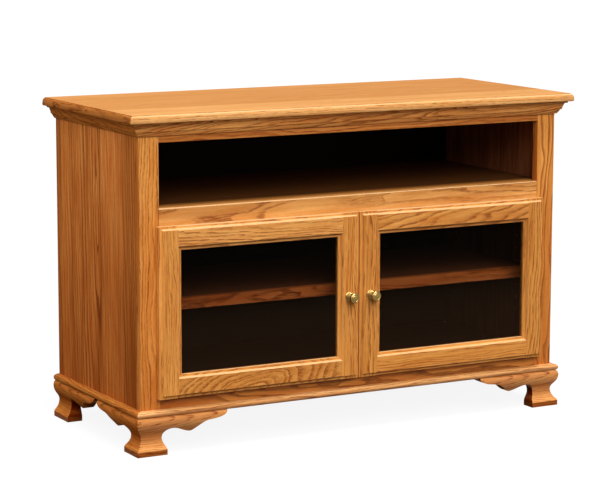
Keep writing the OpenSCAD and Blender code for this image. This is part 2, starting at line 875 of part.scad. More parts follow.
// A door rail's tenon, or the mortise that takes it when grown by the fit
module door_tenon(grow = 0) {
    shoulder_out = lip_w + 3;
    shoulder_in = 6;
    tenon_h = body_w - shoulder_out - shoulder_in;
    translate([body_w - tenon_l - grow, -(door_t + tenon_t) / 2 - grow, shoulder_out - grow])
        cube([tenon_l + past + grow, tenon_t + 2 * grow, tenon_h + 2 * grow]);
}

module door_stile() {
    difference() {
        intersection() {
            door_blank();
            stile_region();
        }
        door_tenon(tenon_fit);
        translate([0, 0, door_h]) mirror([0, 0, 1]) door_tenon(tenon_fit);
    }
}

module door_rail() {
    intersection() {
        door_blank();
        rail_region();
    }
    door_tenon();
    translate([door_w, 0, 0]) mirror([1, 0, 0]) door_tenon();
}

// The centre of each hinge cup's mouth, with +Z pointing into the door
module cup_places() {
    for (z = hinge_zs)
        translate([cup_x, 0, z]) rotate([90, 0, 0]) children();
}

cup_screw_ys = [-cup_r - 6, cup_r + 6];

module left_door_hinge_stile() {
    color(oak) at_left_door() difference() {
        door_stile();
        cup_places() {
            translate([0, 0, -past])
                cylinder(h = cup_d + past + joint_fit, r = cup_r + joint_fit);
            for (y = cup_screw_ys) translate([0, y, 0]) pilot(cup_screw_l);
        }
    }
}

module left_door_meeting_stile() {
    color(oak) at_left_door() difference() {
        translate([door_w, 0, 0]) mirror([1, 0, 0]) door_stile();
        translate([knob_x, past, door_h / 2]) rotate([90, 0, 0])
            cylinder(h = door_t + 2 * past, r = knob_screw_r + screw_fit);
    }
}

module left_door_bottom_rail() {
    color(oak) at_left_door() door_rail();
}

module left_door_top_rail() {
    color(oak) at_left_door() translate([0, 0, door_h]) mirror([0, 0, 1]) door_rail();
}

module left_door_glass() {
    edge = body_w + glass_gap;
    color(smoked) at_left_door() translate([edge, -door_t + glass_in, edge])
        cube([door_w - 2 * edge, glass_t, door_h - 2 * edge]);
}

// Four strips behind the glass, the long ones right across and the short ones between them
module left_door_glass_stops() {
    stop_w = stick_w - 1;
    stop_y = -door_t + glass_in + glass_t;
    edge = body_w + joint_fit;
    color(oak) at_left_door() {
        for (z = [edge, door_h - edge - stop_w])
            translate([edge, stop_y, z]) cube([door_w - 2 * edge, -stop_y, stop_w]);
        for (x = [edge, door_w - edge - stop_w])
            translate([x, stop_y, edge + stop_w + joint_fit])
                cube([stop_w, -stop_y, door_h - 2 * (edge + stop_w + joint_fit)]);
    }
}

// Section of a knob: [radius, distance from the door]
knob_head_h = 8.4;
knob_foot_h = 1.4;
knob_neck_z = 6.5;
knob_rim_z = knob_out - knob_head_h;
knob_section = concat(
    [[0, 0], [knob_foot_r, 0], [knob_foot_r, knob_foot_h]],
    bend([knob_foot_r, knob_foot_h], [knob_neck_r + 1.6, knob_foot_h + 0.6],
         [knob_neck_r, knob_neck_z - 3], [knob_neck_r, knob_neck_z], 6),
    bend([knob_neck_r, knob_neck_z], [knob_neck_r, knob_rim_z - 3],
         [max(knob_neck_r, knob_r - 3), knob_rim_z - 2], [knob_r - 1, knob_rim_z], 7),
    bend([knob_r - 1, knob_rim_z], [knob_r - 0.4, knob_rim_z + 0.6],
         [knob_r, knob_rim_z + 1.2], [knob_r, knob_rim_z + 2.2], 4),
    bend([knob_r, knob_rim_z + 2.2], [knob_r, knob_out - 2.4],
         [knob_r - 2.4, knob_out - 0.4], [knob_r - 4.2, knob_out - 0.6], 9),
    bend([knob_r - 4.2, knob_out - 0.6], [knob_r - 4.8, knob_out - 1.6],
         [knob_r - 5.4, knob_out - 1.6], [knob_r - 6, knob_out - 0.7], 5),
    bend([knob_r - 6, knob_out - 0.7], [knob_r - 8, knob_out - 0.1], [2, knob_out],
         [0, knob_out], 5));
knob_bore_d = 12;

module left_door_knob() {
    color(brass) at_left_door() translate([knob_x, -door_t, door_h / 2]) rotate([90, 0, 0])
        difference() {
            rotate_extrude() polygon(knob_section);
            translate([0, 0, -past]) cylinder(h = knob_bore_d + past, r = knob_screw_r + screw_fit);
        }
}

module left_door_knob_screw() {
    color(steel) at_left_door() translate([knob_x, 0, door_h / 2]) rotate([90, 0, 0])
        screw(door_t + knob_bore_d - 1, knob_screw_r, 2 * knob_screw_r, 2.4);
}

// Inside a cup, two ears hold the hinge pin beside the arm
ear_z = arm_w / 2 + 0.25;
ear_t = 2.4;

module hinge_cup() {
    difference() {
        union() {
            translate([0, 0, -flange_t]) cylinder(h = cup_d + flange_t, r = cup_r);
            translate([0, 0, -flange_t]) cylinder(h = flange_t, r = cup_r + 1);
            translate([-7, cup_screw_ys[0] - 5, -flange_t])
                cube([14, cup_screw_ys[1] - cup_screw_ys[0] + 10, flange_t]);
        }
        translate([0, 0, -past]) cylinder(h = cup_d + past - 0.8, r = cup_r - cup_wall);
        for (y = cup_screw_ys) translate([0, y, 0]) pilot(cup_screw_l);
    }
    intersection() {
        cylinder(h = cup_d, r = cup_r - cup_wall / 2);
        difference() {
            for (side = [0, 1]) mirror([0, side, 0])
                translate([cup_edge - cup_x, ear_z, pivot_deep - 2.4])
                    cube([pivot_in - cup_edge + 2.4, ear_t, cup_d]);
            translate([pivot_in - cup_x, 0, pivot_deep]) rotate([90, 0, 0])
                cylinder(h = 2 * cup_r, r = hinge_pin_r + screw_fit, center = true);
        }
    }
}

module left_door_hinge_cups() {
    color(steel) at_left_door() cup_places() hinge_cup();
}

module left_door_hinge_pins() {
    color(steel) at_left_door() for (z = hinge_zs)
        translate([pivot_in, -pivot_deep, z])
            cylinder(h = 2 * (ear_z + ear_t), r = hinge_pin_r, center = true);
}

module left_door_cup_screws() {
    color(steel) at_left_door() cup_places() for (y = cup_screw_ys)
        translate([0, y, -flange_t]) screw(cup_screw_l);
}

// Soft pads that meet the face frame at the top and bottom of the meeting stile
module left_door_bumpers() {
    bumper_r = 3.5;
    bumper_gap = 0.2;
    color("dimgray") at_left_door() for (z = [overlay / 2, door_h - overlay / 2])
        translate([knob_x, 0, z]) rotate([-90, 0, 0])
            cylinder(h = standoff - bumper_gap, r = bumper_r);
}

module right_door_hinge_stile() { color(oak) mirror([1, 0, 0]) left_door_hinge_stile(); }
module right_door_meeting_stile() { color(oak) mirror([1, 0, 0]) left_door_meeting_stile(); }
module right_door_top_rail() { color(oak) mirror([1, 0, 0]) left_door_top_rail(); }
module right_door_bottom_rail() { color(oak) mirror([1, 0, 0]) left_door_bottom_rail(); }
module right_door_glass() { color(smoked) mirror([1, 0, 0]) left_door_glass(); }
module right_door_glass_stops() { color(oak) mirror([1, 0, 0]) left_door_glass_stops(); }
module right_door_knob() { color(brass) mirror([1, 0, 0]) left_door_knob(); }
module right_door_knob_screw() { color(steel) mirror([1, 0, 0]) left_door_knob_screw(); }
module right_door_hinge_cups() { color(steel) mirror([1, 0, 0]) left_door_hinge_cups(); }
module right_door_hinge_pins() { color(steel) mirror([1, 0, 0]) left_door_hinge_pins(); }
module right_door_cup_screws() { color(steel) mirror([1, 0, 0]) left_door_cup_screws(); }
module right_door_bumpers() { color("dimgray") mirror([1, 0, 0]) left_door_bumpers(); }

top_slab();
crown_front();
crown_left();
crown_right();
left_frame_stile();
right_frame_stile();
top_frame_rail();
middle_frame_rail();
bottom_frame_rail();
left_side_panel();
right_side_panel();
back_panel();
media_deck();
cabinet_bottom();
top_cleats();
adjustable_shelf();
shelf_nosing();
shelf_pins();
base_moulding_front();
base_moulding_left();
base_moulding_right();
front_left_foot_front();
front_left_foot_side();
front_right_foot_front();
front_right_foot_side();
rear_left_foot_side();
rear_right_foot_side();
rear_left_foot_back();
rear_right_foot_back();
foot_corner_blocks();
top_screws();
back_screws();
foot_screws();
left_hinge_arms();
right_hinge_arms();
hinge_arm_screws();
left_door_hinge_stile();
left_door_meeting_stile();
left_door_top_rail();
left_door_bottom_rail();
left_door_glass();
left_door_glass_stops();
left_door_knob();
left_door_knob_screw();
left_door_hinge_cups();
left_door_hinge_pins();
left_door_cup_screws();
left_door_bumpers();
right_door_hinge_stile();
right_door_meeting_stile();
right_door_top_rail();
right_door_bottom_rail();
right_door_glass();
right_door_glass_stops();
right_door_knob();
right_door_knob_screw();
right_door_hinge_cups();
right_door_hinge_pins();
right_door_cup_screws();
right_door_bumpers();
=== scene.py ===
import json
import math

import bmesh
import bpy
import numpy as np
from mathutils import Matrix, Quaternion, Vector


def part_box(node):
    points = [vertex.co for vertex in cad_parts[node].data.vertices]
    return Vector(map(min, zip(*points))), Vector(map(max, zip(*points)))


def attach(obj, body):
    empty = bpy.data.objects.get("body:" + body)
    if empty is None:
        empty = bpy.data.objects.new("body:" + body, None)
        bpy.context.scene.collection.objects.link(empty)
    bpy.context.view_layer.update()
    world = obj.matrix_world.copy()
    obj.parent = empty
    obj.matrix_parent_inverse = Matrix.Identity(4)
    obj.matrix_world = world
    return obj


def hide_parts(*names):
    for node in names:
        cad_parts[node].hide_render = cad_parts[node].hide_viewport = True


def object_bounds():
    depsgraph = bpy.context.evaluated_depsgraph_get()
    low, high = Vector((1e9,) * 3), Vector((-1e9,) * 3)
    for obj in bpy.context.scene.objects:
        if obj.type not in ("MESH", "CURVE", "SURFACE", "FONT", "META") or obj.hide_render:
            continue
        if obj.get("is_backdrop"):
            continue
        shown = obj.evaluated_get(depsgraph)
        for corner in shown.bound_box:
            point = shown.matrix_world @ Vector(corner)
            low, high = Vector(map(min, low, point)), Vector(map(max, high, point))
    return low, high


# An oak media console: a moulded top on a cased carcass, an open bay over a cabinet with two
# glazed doors, and ogee bracket feet. Metres; the front faces -Y and the floor is at zero.
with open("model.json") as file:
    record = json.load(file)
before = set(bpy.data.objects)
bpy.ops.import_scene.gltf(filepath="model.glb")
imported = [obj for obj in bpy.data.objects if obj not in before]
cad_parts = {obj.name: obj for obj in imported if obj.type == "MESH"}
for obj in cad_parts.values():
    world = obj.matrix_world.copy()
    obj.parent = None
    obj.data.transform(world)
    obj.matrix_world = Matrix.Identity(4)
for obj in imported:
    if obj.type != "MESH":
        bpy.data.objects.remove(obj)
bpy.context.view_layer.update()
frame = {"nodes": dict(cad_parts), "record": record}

# Camera. It stands to the left of the object and a little above it, about 5.6 m away, with a
# long lens, so that the sides hardly converge.
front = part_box("left_frame_stile")[0].y
camera_place = Vector((-2.8157, front - 4.8352, 1.3434))
camera_yaw, camera_pitch, camera_roll = (math.radians(a) for a in (28.835, -9.147, 0.132))
sensor_width = 36.0
focal_pixels, picture_width = 2346.4, 600
camera_data = bpy.data.cameras.new("camera")
camera_data.sensor_width = sensor_width
camera_data.lens = focal_pixels / picture_width * sensor_width
camera_data.clip_end = 60
camera = bpy.data.objects.new("camera", camera_data)
looking = Vector((math.sin(camera_yaw) * math.cos(camera_pitch),
                  math.cos(camera_yaw) * math.cos(camera_pitch), math.sin(camera_pitch)))
camera.rotation_mode = "QUATERNION"
camera.rotation_quaternion = (looking.to_track_quat("-Z", "Y")
                              @ Quaternion((0, 0, 1), camera_roll))
camera.location = camera_place
bpy.context.scene.collection.objects.link(camera)
bpy.context.scene.camera = camera
bpy.context.scene.view_settings.view_transform = "Standard"


# Studio. A broad soft lamp in front, another overhead, a weak one from the left, an even pale
# room, and a pale floor. The room and floor are white to the camera and to reflections, but
# light the object only softly, so that the shaded sides keep their depth.
def linear(code):
    """An sRGB hex colour as linear red, green, blue and alpha."""
    parts = [int(code[i:i + 2], 16) / 255 for i in (0, 2, 4)]
    return (*(p / 12.92 if p <= 0.04045 else ((p + 0.055) / 1.055) ** 2.4 for p in parts), 1.0)


def add(tree, kind, inputs=(), **settings):
    """Adds one shader node and gives its outputs. Its inputs, by name or in their own order,
    are values, or outputs of other nodes to link from."""
    node = tree.nodes.new("ShaderNode" + kind)
    for key, value in settings.items():
        setattr(node, key, value)
    for socket, value in inputs.items() if isinstance(inputs, dict) else enumerate(inputs):
        if isinstance(value, bpy.types.NodeSocket):
            tree.links.new(value, node.inputs[socket])
        else:
            node.inputs[socket].default_value = value
    return node.outputs


def seen_directly(tree):
    """1 where a ray comes from the camera, a mirror reflection or clear glass, else 0."""
    ray = add(tree, "LightPath")
    shiny = add(tree, "Math", [ray["Is Glossy Ray"], ray["Is Transmission Ray"]],
                operation="MAXIMUM")
    return add(tree, "Math", [ray["Is Camera Ray"], shiny[0]], operation="MAXIMUM")[0]


room_light = 0.22
world = bpy.data.worlds.new("pale_room")
bpy.context.scene.world = world
world.use_nodes = True
world.node_tree.nodes.clear()
room_strength = add(world.node_tree, "MapRange",
                    {"Value": seen_directly(world.node_tree), "To Min": room_light, "To Max": 1.0})
room = add(world.node_tree, "Background", {"Color": linear("FFFFFF"), "Strength": room_strength[0]})
add(world.node_tree, "OutputWorld", {"Surface": room[0]})


def softbox(name, strength, azimuth, elevation, spread):
    """A large lamp far off. White that squarely faces it gives back its strength; azimuth is how
    far it stands left of straight in front, and spread the angle that it fills, in degrees."""
    data = bpy.data.lights.new(name, "SUN")
    data.energy = strength * math.pi
    data.angle = math.radians(spread)
    azimuth, elevation = math.radians(azimuth), math.radians(elevation)
    towards = Vector((-math.sin(azimuth) * math.cos(elevation),
                      -math.cos(azimuth) * math.cos(elevation), math.sin(elevation)))
    lamp = bpy.data.objects.new(name, data)
    lamp.rotation_mode = "QUATERNION"
    lamp.rotation_quaternion = towards.to_track_quat("Z", "Y")
    bpy.context.scene.collection.objects.link(lamp)


softbox("front_softbox", strength=0.75, azimuth=16, elevation=34, spread=40)
softbox("overhead_softbox", strength=0.71, azimuth=-20, elevation=76, spread=30)
fill_watts, fill_width = 7.6, 0.9
fill_place, fill_from = (-1.9, -0.3, 1.35), Vector((-1.3, -0.3, 0.7))
fill_data = bpy.data.lights.new("left_fill", "AREA")
fill_data.energy, fill_data.size = fill_watts, fill_width
left_fill = bpy.data.objects.new("left_fill", fill_data)
left_fill.location = fill_place
left_fill.rotation_mode = "QUATERNION"
left_fill.rotation_quaternion = fill_from.to_track_quat("Z", "Y")
left_fill.visible_camera = False
bpy.context.scene.collection.objects.link(left_fill)


def blank(name):
    """A new material with no nodes yet, and its node tree."""
    material = bpy.data.materials.new(name)
    material.use_nodes = True
    material.node_tree.nodes.clear()
    return material, material.node_tree


floor_half, floor_lift = 30.0, 0.9
floor_material, floor_tree = blank("pale_studio_floor")
floor_paint = add(floor_tree, "BsdfDiffuse", {"Color": linear("5C5C5C")})
floor_glow = add(floor_tree, "Math", [seen_directly(floor_tree), floor_lift],
                 operation="MULTIPLY")
floor_shine = add(floor_tree, "Emission", {"Strength": floor_glow[0]})
floor_sum = add(floor_tree, "AddShader", [floor_paint[0], floor_shine[0]])
add(floor_tree, "OutputMaterial", {"Surface": floor_sum[0]})
floor_mesh = bpy.data.meshes.new("floor")
floor_mesh.from_pydata([(x * floor_half, y * floor_half, 0) for x, y in
                        ((-1, -1), (1, -1), (1, 1), (-1, 1))], [], [(0, 1, 2, 3)])
floor_mesh.materials.append(floor_material)
floor = bpy.data.objects.new("floor", floor_mesh)
bpy.context.scene.collection.objects.link(floor)
floor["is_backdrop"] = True


# Side panels. Each is glued up from solid red oak boards with the grain upright, stained golden
# and lacquered outside, and stained nearly black inside. Their arrises are eased by hand.
X, Y, Z = 0, 1, 2


def oak(name, node, along, face, heart=(0.0, 0.0, 0.06), slope=0.03, ring=0.009, wave=0.012,
        line=0.42, tint="D08236", bright="E6A050", deep="7C2A00", rosy=0.25, pores=0.6, board=0.0,
        luck=0.5, flecks=0.4, ends=0.5, shine=0.06, gloss=0.06, painted_light=()):
    """Red oak, flat sawn, golden stain under satin lacquer: growth rings that the saw cut into
    nested arches or long lines, open pores along the grain that hold dark stain, and rosy and
    pale patches. The rings are cylinders round the heart of the log, so the ring number is the
    distance from the heart line, with a slow wave, over the width of a ring. heart is the
    place of that line from the middle of the CAD node, along, across and behind its face, and
    slope its lean. line is the share of a ring that is dark spring wood, flecks what is left
    of such a line between its pores, board the width of the boards that a panel is glued up
    from, and luck what picks them. ends is how dark the wood is where it is cut across its
    grain, shine its own reflection, and gloss the weight of the lacquer. The last argument
    paints light and shade by height: it gives the share of red light that the colour keeps at
    some heights; green and blue keep its powers 1.6 and 2.2."""
    material, tree = blank(name)
    across = 3 - along - face
    low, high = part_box(node)
    middle = (low + high) / 2
    place = add(tree, "TexCoord")
    axes = add(tree, "SeparateXYZ", [place["Object"]])
    log = add(tree, "CombineXYZ", [axes[along], axes[across], axes[face]])
    if board:
        # Each board comes from a place of its own in the log
        count = add(tree, "Math", [axes[across], board], operation="DIVIDE")
        number = add(tree, "Math", [count[0]], operation="FLOOR")
        seed = add(tree, "Math", [number[0], luck], operation="ADD")
        chance = add(tree, "TexWhiteNoise", {"W": seed[0]}, noise_dimensions="1D")
        shift = add(tree, "VectorMath", [chance["Color"], (0.9, 0.16, 0.05)],
                    operation="MULTIPLY")
        log = add(tree, "VectorMath", [log[0], shift[0]], operation="ADD")
        board_chance = add(tree, "SeparateXYZ", [chance["Color"]])
    sawn = add(tree, "Mapping", {"Vector": log[0],
                                 "Location": (middle[along] + heart[0], middle[across] + heart[1],
                                              middle[face] + heart[2]),
                                 "Rotation": (0.0, slope, slope * 0.6)},
               vector_type="TEXTURE")[0]

    # Cycles to the metre along the grain, across it and into it, then detail and roughness. The
    # rings wander over a third of a metre, and shiver over a few centimetres. Pores are 0.3 mm
    # wide. They are drawn 3 mm wide and 30 mm long in the spring wood, where they break its lines
    # into dashes, and 1 mm wide and 15 mm long all over, the finest that shows here. Streaks,
    # where the stain took unevenly, are about 8 mm wide and a hand long, and rosy patches 60 mm
    # wide and 400 mm long.
    noise = {}
    for figure, per_metre, detail, roughness in (
            ("wander", (3.2, 13, 13), 2.0, 0.5), ("shiver", (22, 70, 70), 1.0, 0.5),
            ("dashes", (33, 330, 330), 1.0, 0.5), ("pores", (66, 950, 950), 2.0, 0.6),
            ("streaks", (5, 120, 120), 3.0, 0.5), ("patches", (2.4, 17, 17), 1.0, 0.5)):
        scaled = add(tree, "VectorMath", [sawn, per_metre], operation="MULTIPLY")
        noise[figure] = add(tree, "TexNoise", {"Vector": scaled[0], "Scale": 1.0,
                                               "Detail": detail, "Roughness": roughness})["Fac"]

    slow = add(tree, "MapRange", [noise["wander"], 0.25, 0.75, -wave, wave], clamp=False)
    shiver = add(tree, "MapRange", [noise["shiver"], 0.25, 0.75, -0.0012, 0.0012], clamp=False)
    square = add(tree, "VectorMath", [sawn, (0, 1, 1)], operation="MULTIPLY")
    radius = add(tree, "VectorMath", [square[0]], operation="LENGTH")["Value"]
    waved = add(tree, "Math", [radius, slow[0]], operation="ADD")
    fine = add(tree, "Math", [waved[0], shiver[0]], operation="ADD")
    even = add(tree, "Math", [fine[0], ring], operation="DIVIDE")
    # Good and poor years change the width of the rings, over about three of them
    growth = add(tree, "TexNoise", {"W": even[0], "Scale": 0.31, "Detail": 1.0},
                 noise_dimensions="1D")["Fac"]
    rings = add(tree, "Math", [growth, 2.6, even[0]], operation="MULTIPLY_ADD")
    year = add(tree, "Math", [rings[0]], operation="FLOOR")
    season = add(tree, "Math", [rings[0]], operation="FRACT")
    chance_of_year = add(tree, "TexWhiteNoise", {"W": year[0]}, noise_dimensions="1D")["Value"]
    strength = add(tree, "MapRange", [chance_of_year, 0.0, 1.0, 0.5, 1.0])
    porous = add(tree, "ValToRGB", [season[0]])
    ramp = tree.nodes[-1].color_ramp
    for position, grey in ((0.0, 0.8), (0.3 * line, 1.0), (0.65 * line, 0.7), (line, 0.22),
                           (0.5 + 0.5 * line, 0.05), (0.96, 0.0), (1.0, 0.8)):
        stop = ramp.elements.new(position)
        stop.color = (grey, grey, grey, 1)
    ramp.elements.remove(ramp.elements[0])
    ramp.elements.remove(ramp.elements[-1])
    early = add(tree, "Math", [porous[0], strength[0]], operation="MULTIPLY")
    if board:
        plainer = add(tree, "MapRange", [board_chance[2], 0.0, 1.0, 0.35, 1.0])
        early = add(tree, "Math", [early[0], plainer[0]], operation="MULTIPLY")
    dashes = add(tree, "MapRange", [noise["dashes"], 0.40, 0.56, flecks, 1.0])
    dashed = add(tree, "Math", [early[0], dashes[0]], operation="MULTIPLY")
    fine_pores = add(tree, "MapRange", [noise["pores"], 0.50, 0.68, 0.0, 1.0])
    pore_share = add(tree, "MapRange", [early[0], 0.0, 1.0, 0.3, 1.0])
    pored = add(tree, "Math", [fine_pores[0], pore_share[0]], operation="MULTIPLY")

    # The stain, pale to golden in streaks, and over it the rosy patches, the duller boards, the
    # lines of spring wood and the pores
    streak = add(tree, "MapRange", [noise["streaks"], 0.32, 0.68, 0.0, 1.0])
    colour = add(tree, "MixRGB", [streak[0], linear(tint), linear(bright)])
    patch = add(tree, "MapRange", [noise["patches"], 0.42, 0.72, 0.0, rosy])
    line_share = add(tree, "Math", [dashed[0], 0.9], operation="MULTIPLY")
    stained_pores = add(tree, "Math", [pored[0], pores], operation="MULTIPLY")
    layers = [(patch, "A04A16"), (line_share, deep), (stained_pores, "642200")]
    if board:
        duller = add(tree, "MapRange", [board_chance[0], 0.2, 1.0, 0.0, 0.45])
        layers.insert(1, (duller, "A86026"))
    for share, shade in layers:
        colour = add(tree, "MixRGB", [share[0], colour[0], linear(shade)])
    # Cut across the grain, the open pores drink the stain and the wood goes dark
    facing = add(tree, "SeparateXYZ", [place["Normal"]])
    squarely = add(tree, "Math", [facing[along]], operation="ABSOLUTE")
    end_grain = add(tree, "MapRange", [squarely[0], 0.6, 0.95, 0.0, ends])
    colour = add(tree, "MixRGB", [end_grain[0], colour[0], linear("8A5024")],
                 blend_type="MULTIPLY")

    # Painted light and shade by height: the colour keeps the given share of red at each height, and
    # green and blue keep its powers 1.6 and 2.2
    if painted_light:
        lowest, highest = painted_light[0][0], painted_light[-1][0]
        level = add(tree, "MapRange", [axes[Z], lowest, highest, 0.0, 1.0])
        painted_light_ramp = add(tree, "ValToRGB", [level[0]])
        ramp = tree.nodes[-1].color_ramp
        for place_up, share in painted_light:
            stop = ramp.elements.new((place_up - lowest) / (highest - lowest))
            stop.color = (share, share ** 1.6, share ** 2.2, 1)
        ramp.elements.remove(ramp.elements[0])
        ramp.elements.remove(ramp.elements[-1])
        colour = add(tree, "MixRGB", [1.0, colour[0], painted_light_ramp[0]], blend_type="MULTIPLY")

    height = add(tree, "Math", [pored[0], -1.0], operation="MULTIPLY")
    bump = add(tree, "Bump", {"Height": height[0], "Strength": 0.3, "Distance": 0.0003})
    rough = add(tree, "MapRange", [pored[0], 0.0, 1.0, 0.36, 0.6])
    # Undersides and sawn ends get one thin coat, which sinks in and hardly shines
    sheen = {"Specular IOR Level": shine, "Coat Weight": gloss}
    if shine or gloss:
        above = add(tree, "MapRange", [facing[Z], -0.75, -0.35, 0.0, 1.0])
        beside = add(tree, "MapRange", [squarely[0], 0.6, 0.95, 1.0, 0.0])
        lacquered = add(tree, "Math", [above[0], beside[0]], operation="MULTIPLY")
        for socket, most in sheen.items():
            if most:
                sheen[socket] = add(tree, "Math", [lacquered[0], most], operation="MULTIPLY")[0]
    surface = add(tree, "BsdfPrincipled", {
        "Base Color": colour[0], "Roughness": rough[0], "Normal": bump[0],
        "Coat Roughness": 0.16, **sheen})
    add(tree, "OutputMaterial", {"Surface": surface[0]})
    return material


def dark_stain(name, pale, dark, along=X, painted_light_front=None, darker_below=None):
    """Oak-veneered board with a dark stain: its long pores and its streaks still show as a dull
    grain along one axis. A painted pool of light can lie along its front edge: between two
    places along Y, golden colour gives way to the dark, as the lamps reach in only some
    centimetres. Below a given height the colour is pulled towards the dark streak and darkened."""
    material, tree = blank(name)
    place = add(tree, "TexCoord")
    # Streaks 10 mm wide and a hand long, and finer detail down to pores 2 mm wide
    per_metre = [100.0, 100.0, 100.0]
    per_metre[along] = 6.0
    scaled = add(tree, "VectorMath", [place["Object"], per_metre], operation="MULTIPLY")
    pores = add(tree, "TexNoise", {"Vector": scaled[0], "Scale": 1.0, "Detail": 3.0,
                                   "Roughness": 0.7})["Fac"]
    share = add(tree, "MapRange", [pores, 0.25, 0.75])
    colour = add(tree, "MixRGB", [share[0], linear(dark), linear(pale)])
    if darker_below:
        # It pulls every streak towards the dark one, and then darkens both
        height = add(tree, "SeparateXYZ", [place["Object"]])[Z]
        once = add(tree, "MapRange", [height, darker_below - 0.01, darker_below, 0.55])
        for shade in (dark, "000000"):
            colour = add(tree, "MixRGB", [once[0], linear(shade), colour[0]])
    # Painted light: golden along the front edge, fading to the dark further in
    if painted_light_front:
        back_from_front = add(tree, "SeparateXYZ", [place["Object"]])[Y]
        lit_share = add(tree, "MapRange", [back_from_front, painted_light_front[1], painted_light_front[0]])
        colour = add(tree, "MixRGB", [lit_share[0], colour[0], linear("B87838")])
    rough = add(tree, "MapRange", {"Value": pores, "To Min": 0.45, "To Max": 0.6})
    surface = add(tree, "BsdfPrincipled", {"Base Color": colour[0], "Roughness": rough[0],
                                           "Specular IOR Level": 0.03})
    add(tree, "OutputMaterial", {"Surface": surface[0]})
    return material


inside_stain = dark_stain("oak_veneer_stained_walnut", "9E5C3A", "50280F", Z,
                          darker_below=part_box("media_deck")[1].z)
record = frame["record"]
slot_of = {part["node"]: part["material_slot"] for part in record["subparts"]}
body_of = {n: body for body, names in record["behaviour"]["bodies"].items() for n in names}


def solid(name, points, faces, flat=False):
    """A closed solid from points and faces: doubles merged, faces turned outwards, and with
    flat the small coplanar faces joined, so that only its real edges are left."""
    nearby = 2e-6
    mesh = bpy.data.meshes.new(name)
    mesh.from_pydata(np.asarray(points).tolist(), [], np.asarray(faces).tolist())
    shape = bmesh.new()
    shape.from_mesh(mesh)
    bmesh.ops.remove_doubles(shape, verts=shape.verts, dist=nearby)
    bmesh.ops.dissolve_degenerate(shape, edges=shape.edges, dist=nearby)
    if flat:
        bmesh.ops.dissolve_limit(shape, angle_limit=math.radians(0.5), verts=shape.verts,
                                 edges=shape.edges)
    bmesh.ops.recalc_face_normals(shape, faces=shape.faces)
    shape.to_mesh(mesh)
    shape.free()
    return mesh


def dress(name, mesh, material, nodes, ease=0.0, crease=35):
    """Puts a finished mesh in the place of its CAD nodes: their body and slot, smooth faces
    between creases, and arrises eased by so many metres."""
    mesh.materials.append(material)
    mesh.polygons.foreach_set("use_smooth", np.ones(len(mesh.polygons), bool))
    mesh.set_sharp_from_angle(angle=math.radians(crease))
    made = bpy.data.objects.new(name, mesh)
    bpy.context.scene.collection.objects.link(made)
    if ease:
        bevel = made.modifiers.new("eased", "BEVEL")
        bevel.width = ease
        bevel.segments = 2
        bevel.limit_method = "ANGLE"
        bevel.angle_limit = math.radians(crease)
        bevel.harden_normals = True
    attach(made, body_of[nodes[0]])
    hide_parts(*nodes)
    return made


def read(items, name, width=1, kind=float):
    """One attribute of all vertices, corners or faces of a mesh, as an array with so many
    numbers for each."""
    values = np.empty(len(items) * width, kind)
    items.foreach_get(name, values)
    return values.reshape(-1, width) if width > 1 else values


def eased(node, material, ease=0.0008, along=None, arris=None):
    """The CAD node's own solid with its arrises eased: all of them, or only the sharp ones that
    run along one axis, each by no more than 0.45 of the narrower face beside it. The arris
    finish, with its painted highlight and painted shade, goes on the faces of the bevel."""
    source = frame["nodes"][node].data
    corners = read(source.loops, "vertex_index", kind=int).reshape(-1, 3)
    mesh = solid("eased_" + node, read(source.vertices, "co", 3), corners, flat=True)
    made = dress("eased_" + node, mesh, material, [node], ease)
    bevel = made.modifiers[0]
    if arris:
        mesh.materials.append(arris)
        bevel.material = 1
    if along is not None:
        shape = bmesh.new()
        shape.from_mesh(mesh)
        share = [0.0 if abs((e.verts[1].co - e.verts[0].co).normalized()[along]) < 0.999
                 or e.calc_face_angle() < bevel.angle_limit
                 else min(1.0, 0.45 * min(f.calc_area() for f in e.link_faces)
                          / e.calc_length() / ease) for e in shape.edges]
        shape.free()
        weights = mesh.attributes.new("bevel_weight_edge", "FLOAT", "EDGE")
        weights.data.foreach_set("value", share)
        bevel.limit_method = "WEIGHT"
    return made


def finish_facing(made, axis, sign, material, within=8):
    """Gives another finish to the faces that look along sign times the axis, within some
    degrees."""
    mesh = made.data
    mesh.materials.append(material)
    facing = read(mesh.polygons, "normal", 3)[:, axis] * sign > math.cos(math.radians(within))
    finish = read(mesh.polygons, "material_index", kind=int)
    finish[facing] = len(mesh.materials) - 1
    mesh.polygons.foreach_set("material_index", finish)


# The sides are left dull, while the lacquer of the front is rubbed out to a satin sheen
side_finish = dict(tint="D27630", bright="F09E4C", deep="5E2408", shine=0.0, gloss=0.0)
# Painted shade: the upright pieces are darkened towards the floor, where less light falls
side_low, side_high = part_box("left_side_panel")
painted_shade_towards_floor = [(side_low.z, 0.70), ((side_low.z + side_high.z) / 2, 0.85), (side_high.z, 1.0)]
for side, sign in (("left", 1), ("right", -1)):
    node = side + "_side_panel"
    panel_oak = oak("oak_" + node, node, Z, X, heart=(0.1, 0.03 * sign, 0.05 * sign), slope=0.06,
                    board=0.12, ring=0.013, wave=0.007, line=0.34, flecks=0.8, rosy=0.5,
                    luck=13.5, painted_light=painted_shade_towards_floor,
                    **dict(side_finish, tint="DF7C36", bright="F8A254", deep="6C2C0A"))
    finish_facing(eased(node, panel_oak, ease=0.0015), X, sign, inside_stain)


# Boards inside the case: the deck of the open bay, the cabinet bottom and the back panel.
# Oak-veneered, stained dark walnut so that what stands in the case comes forward.
board_ease, lit_depth = 0.0005, 0.045
deck_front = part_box("media_deck")[0].y
eased("back_panel", dark_stain("oak_veneer_stained_black_brown", "1E110A", "0E0704"), board_ease)
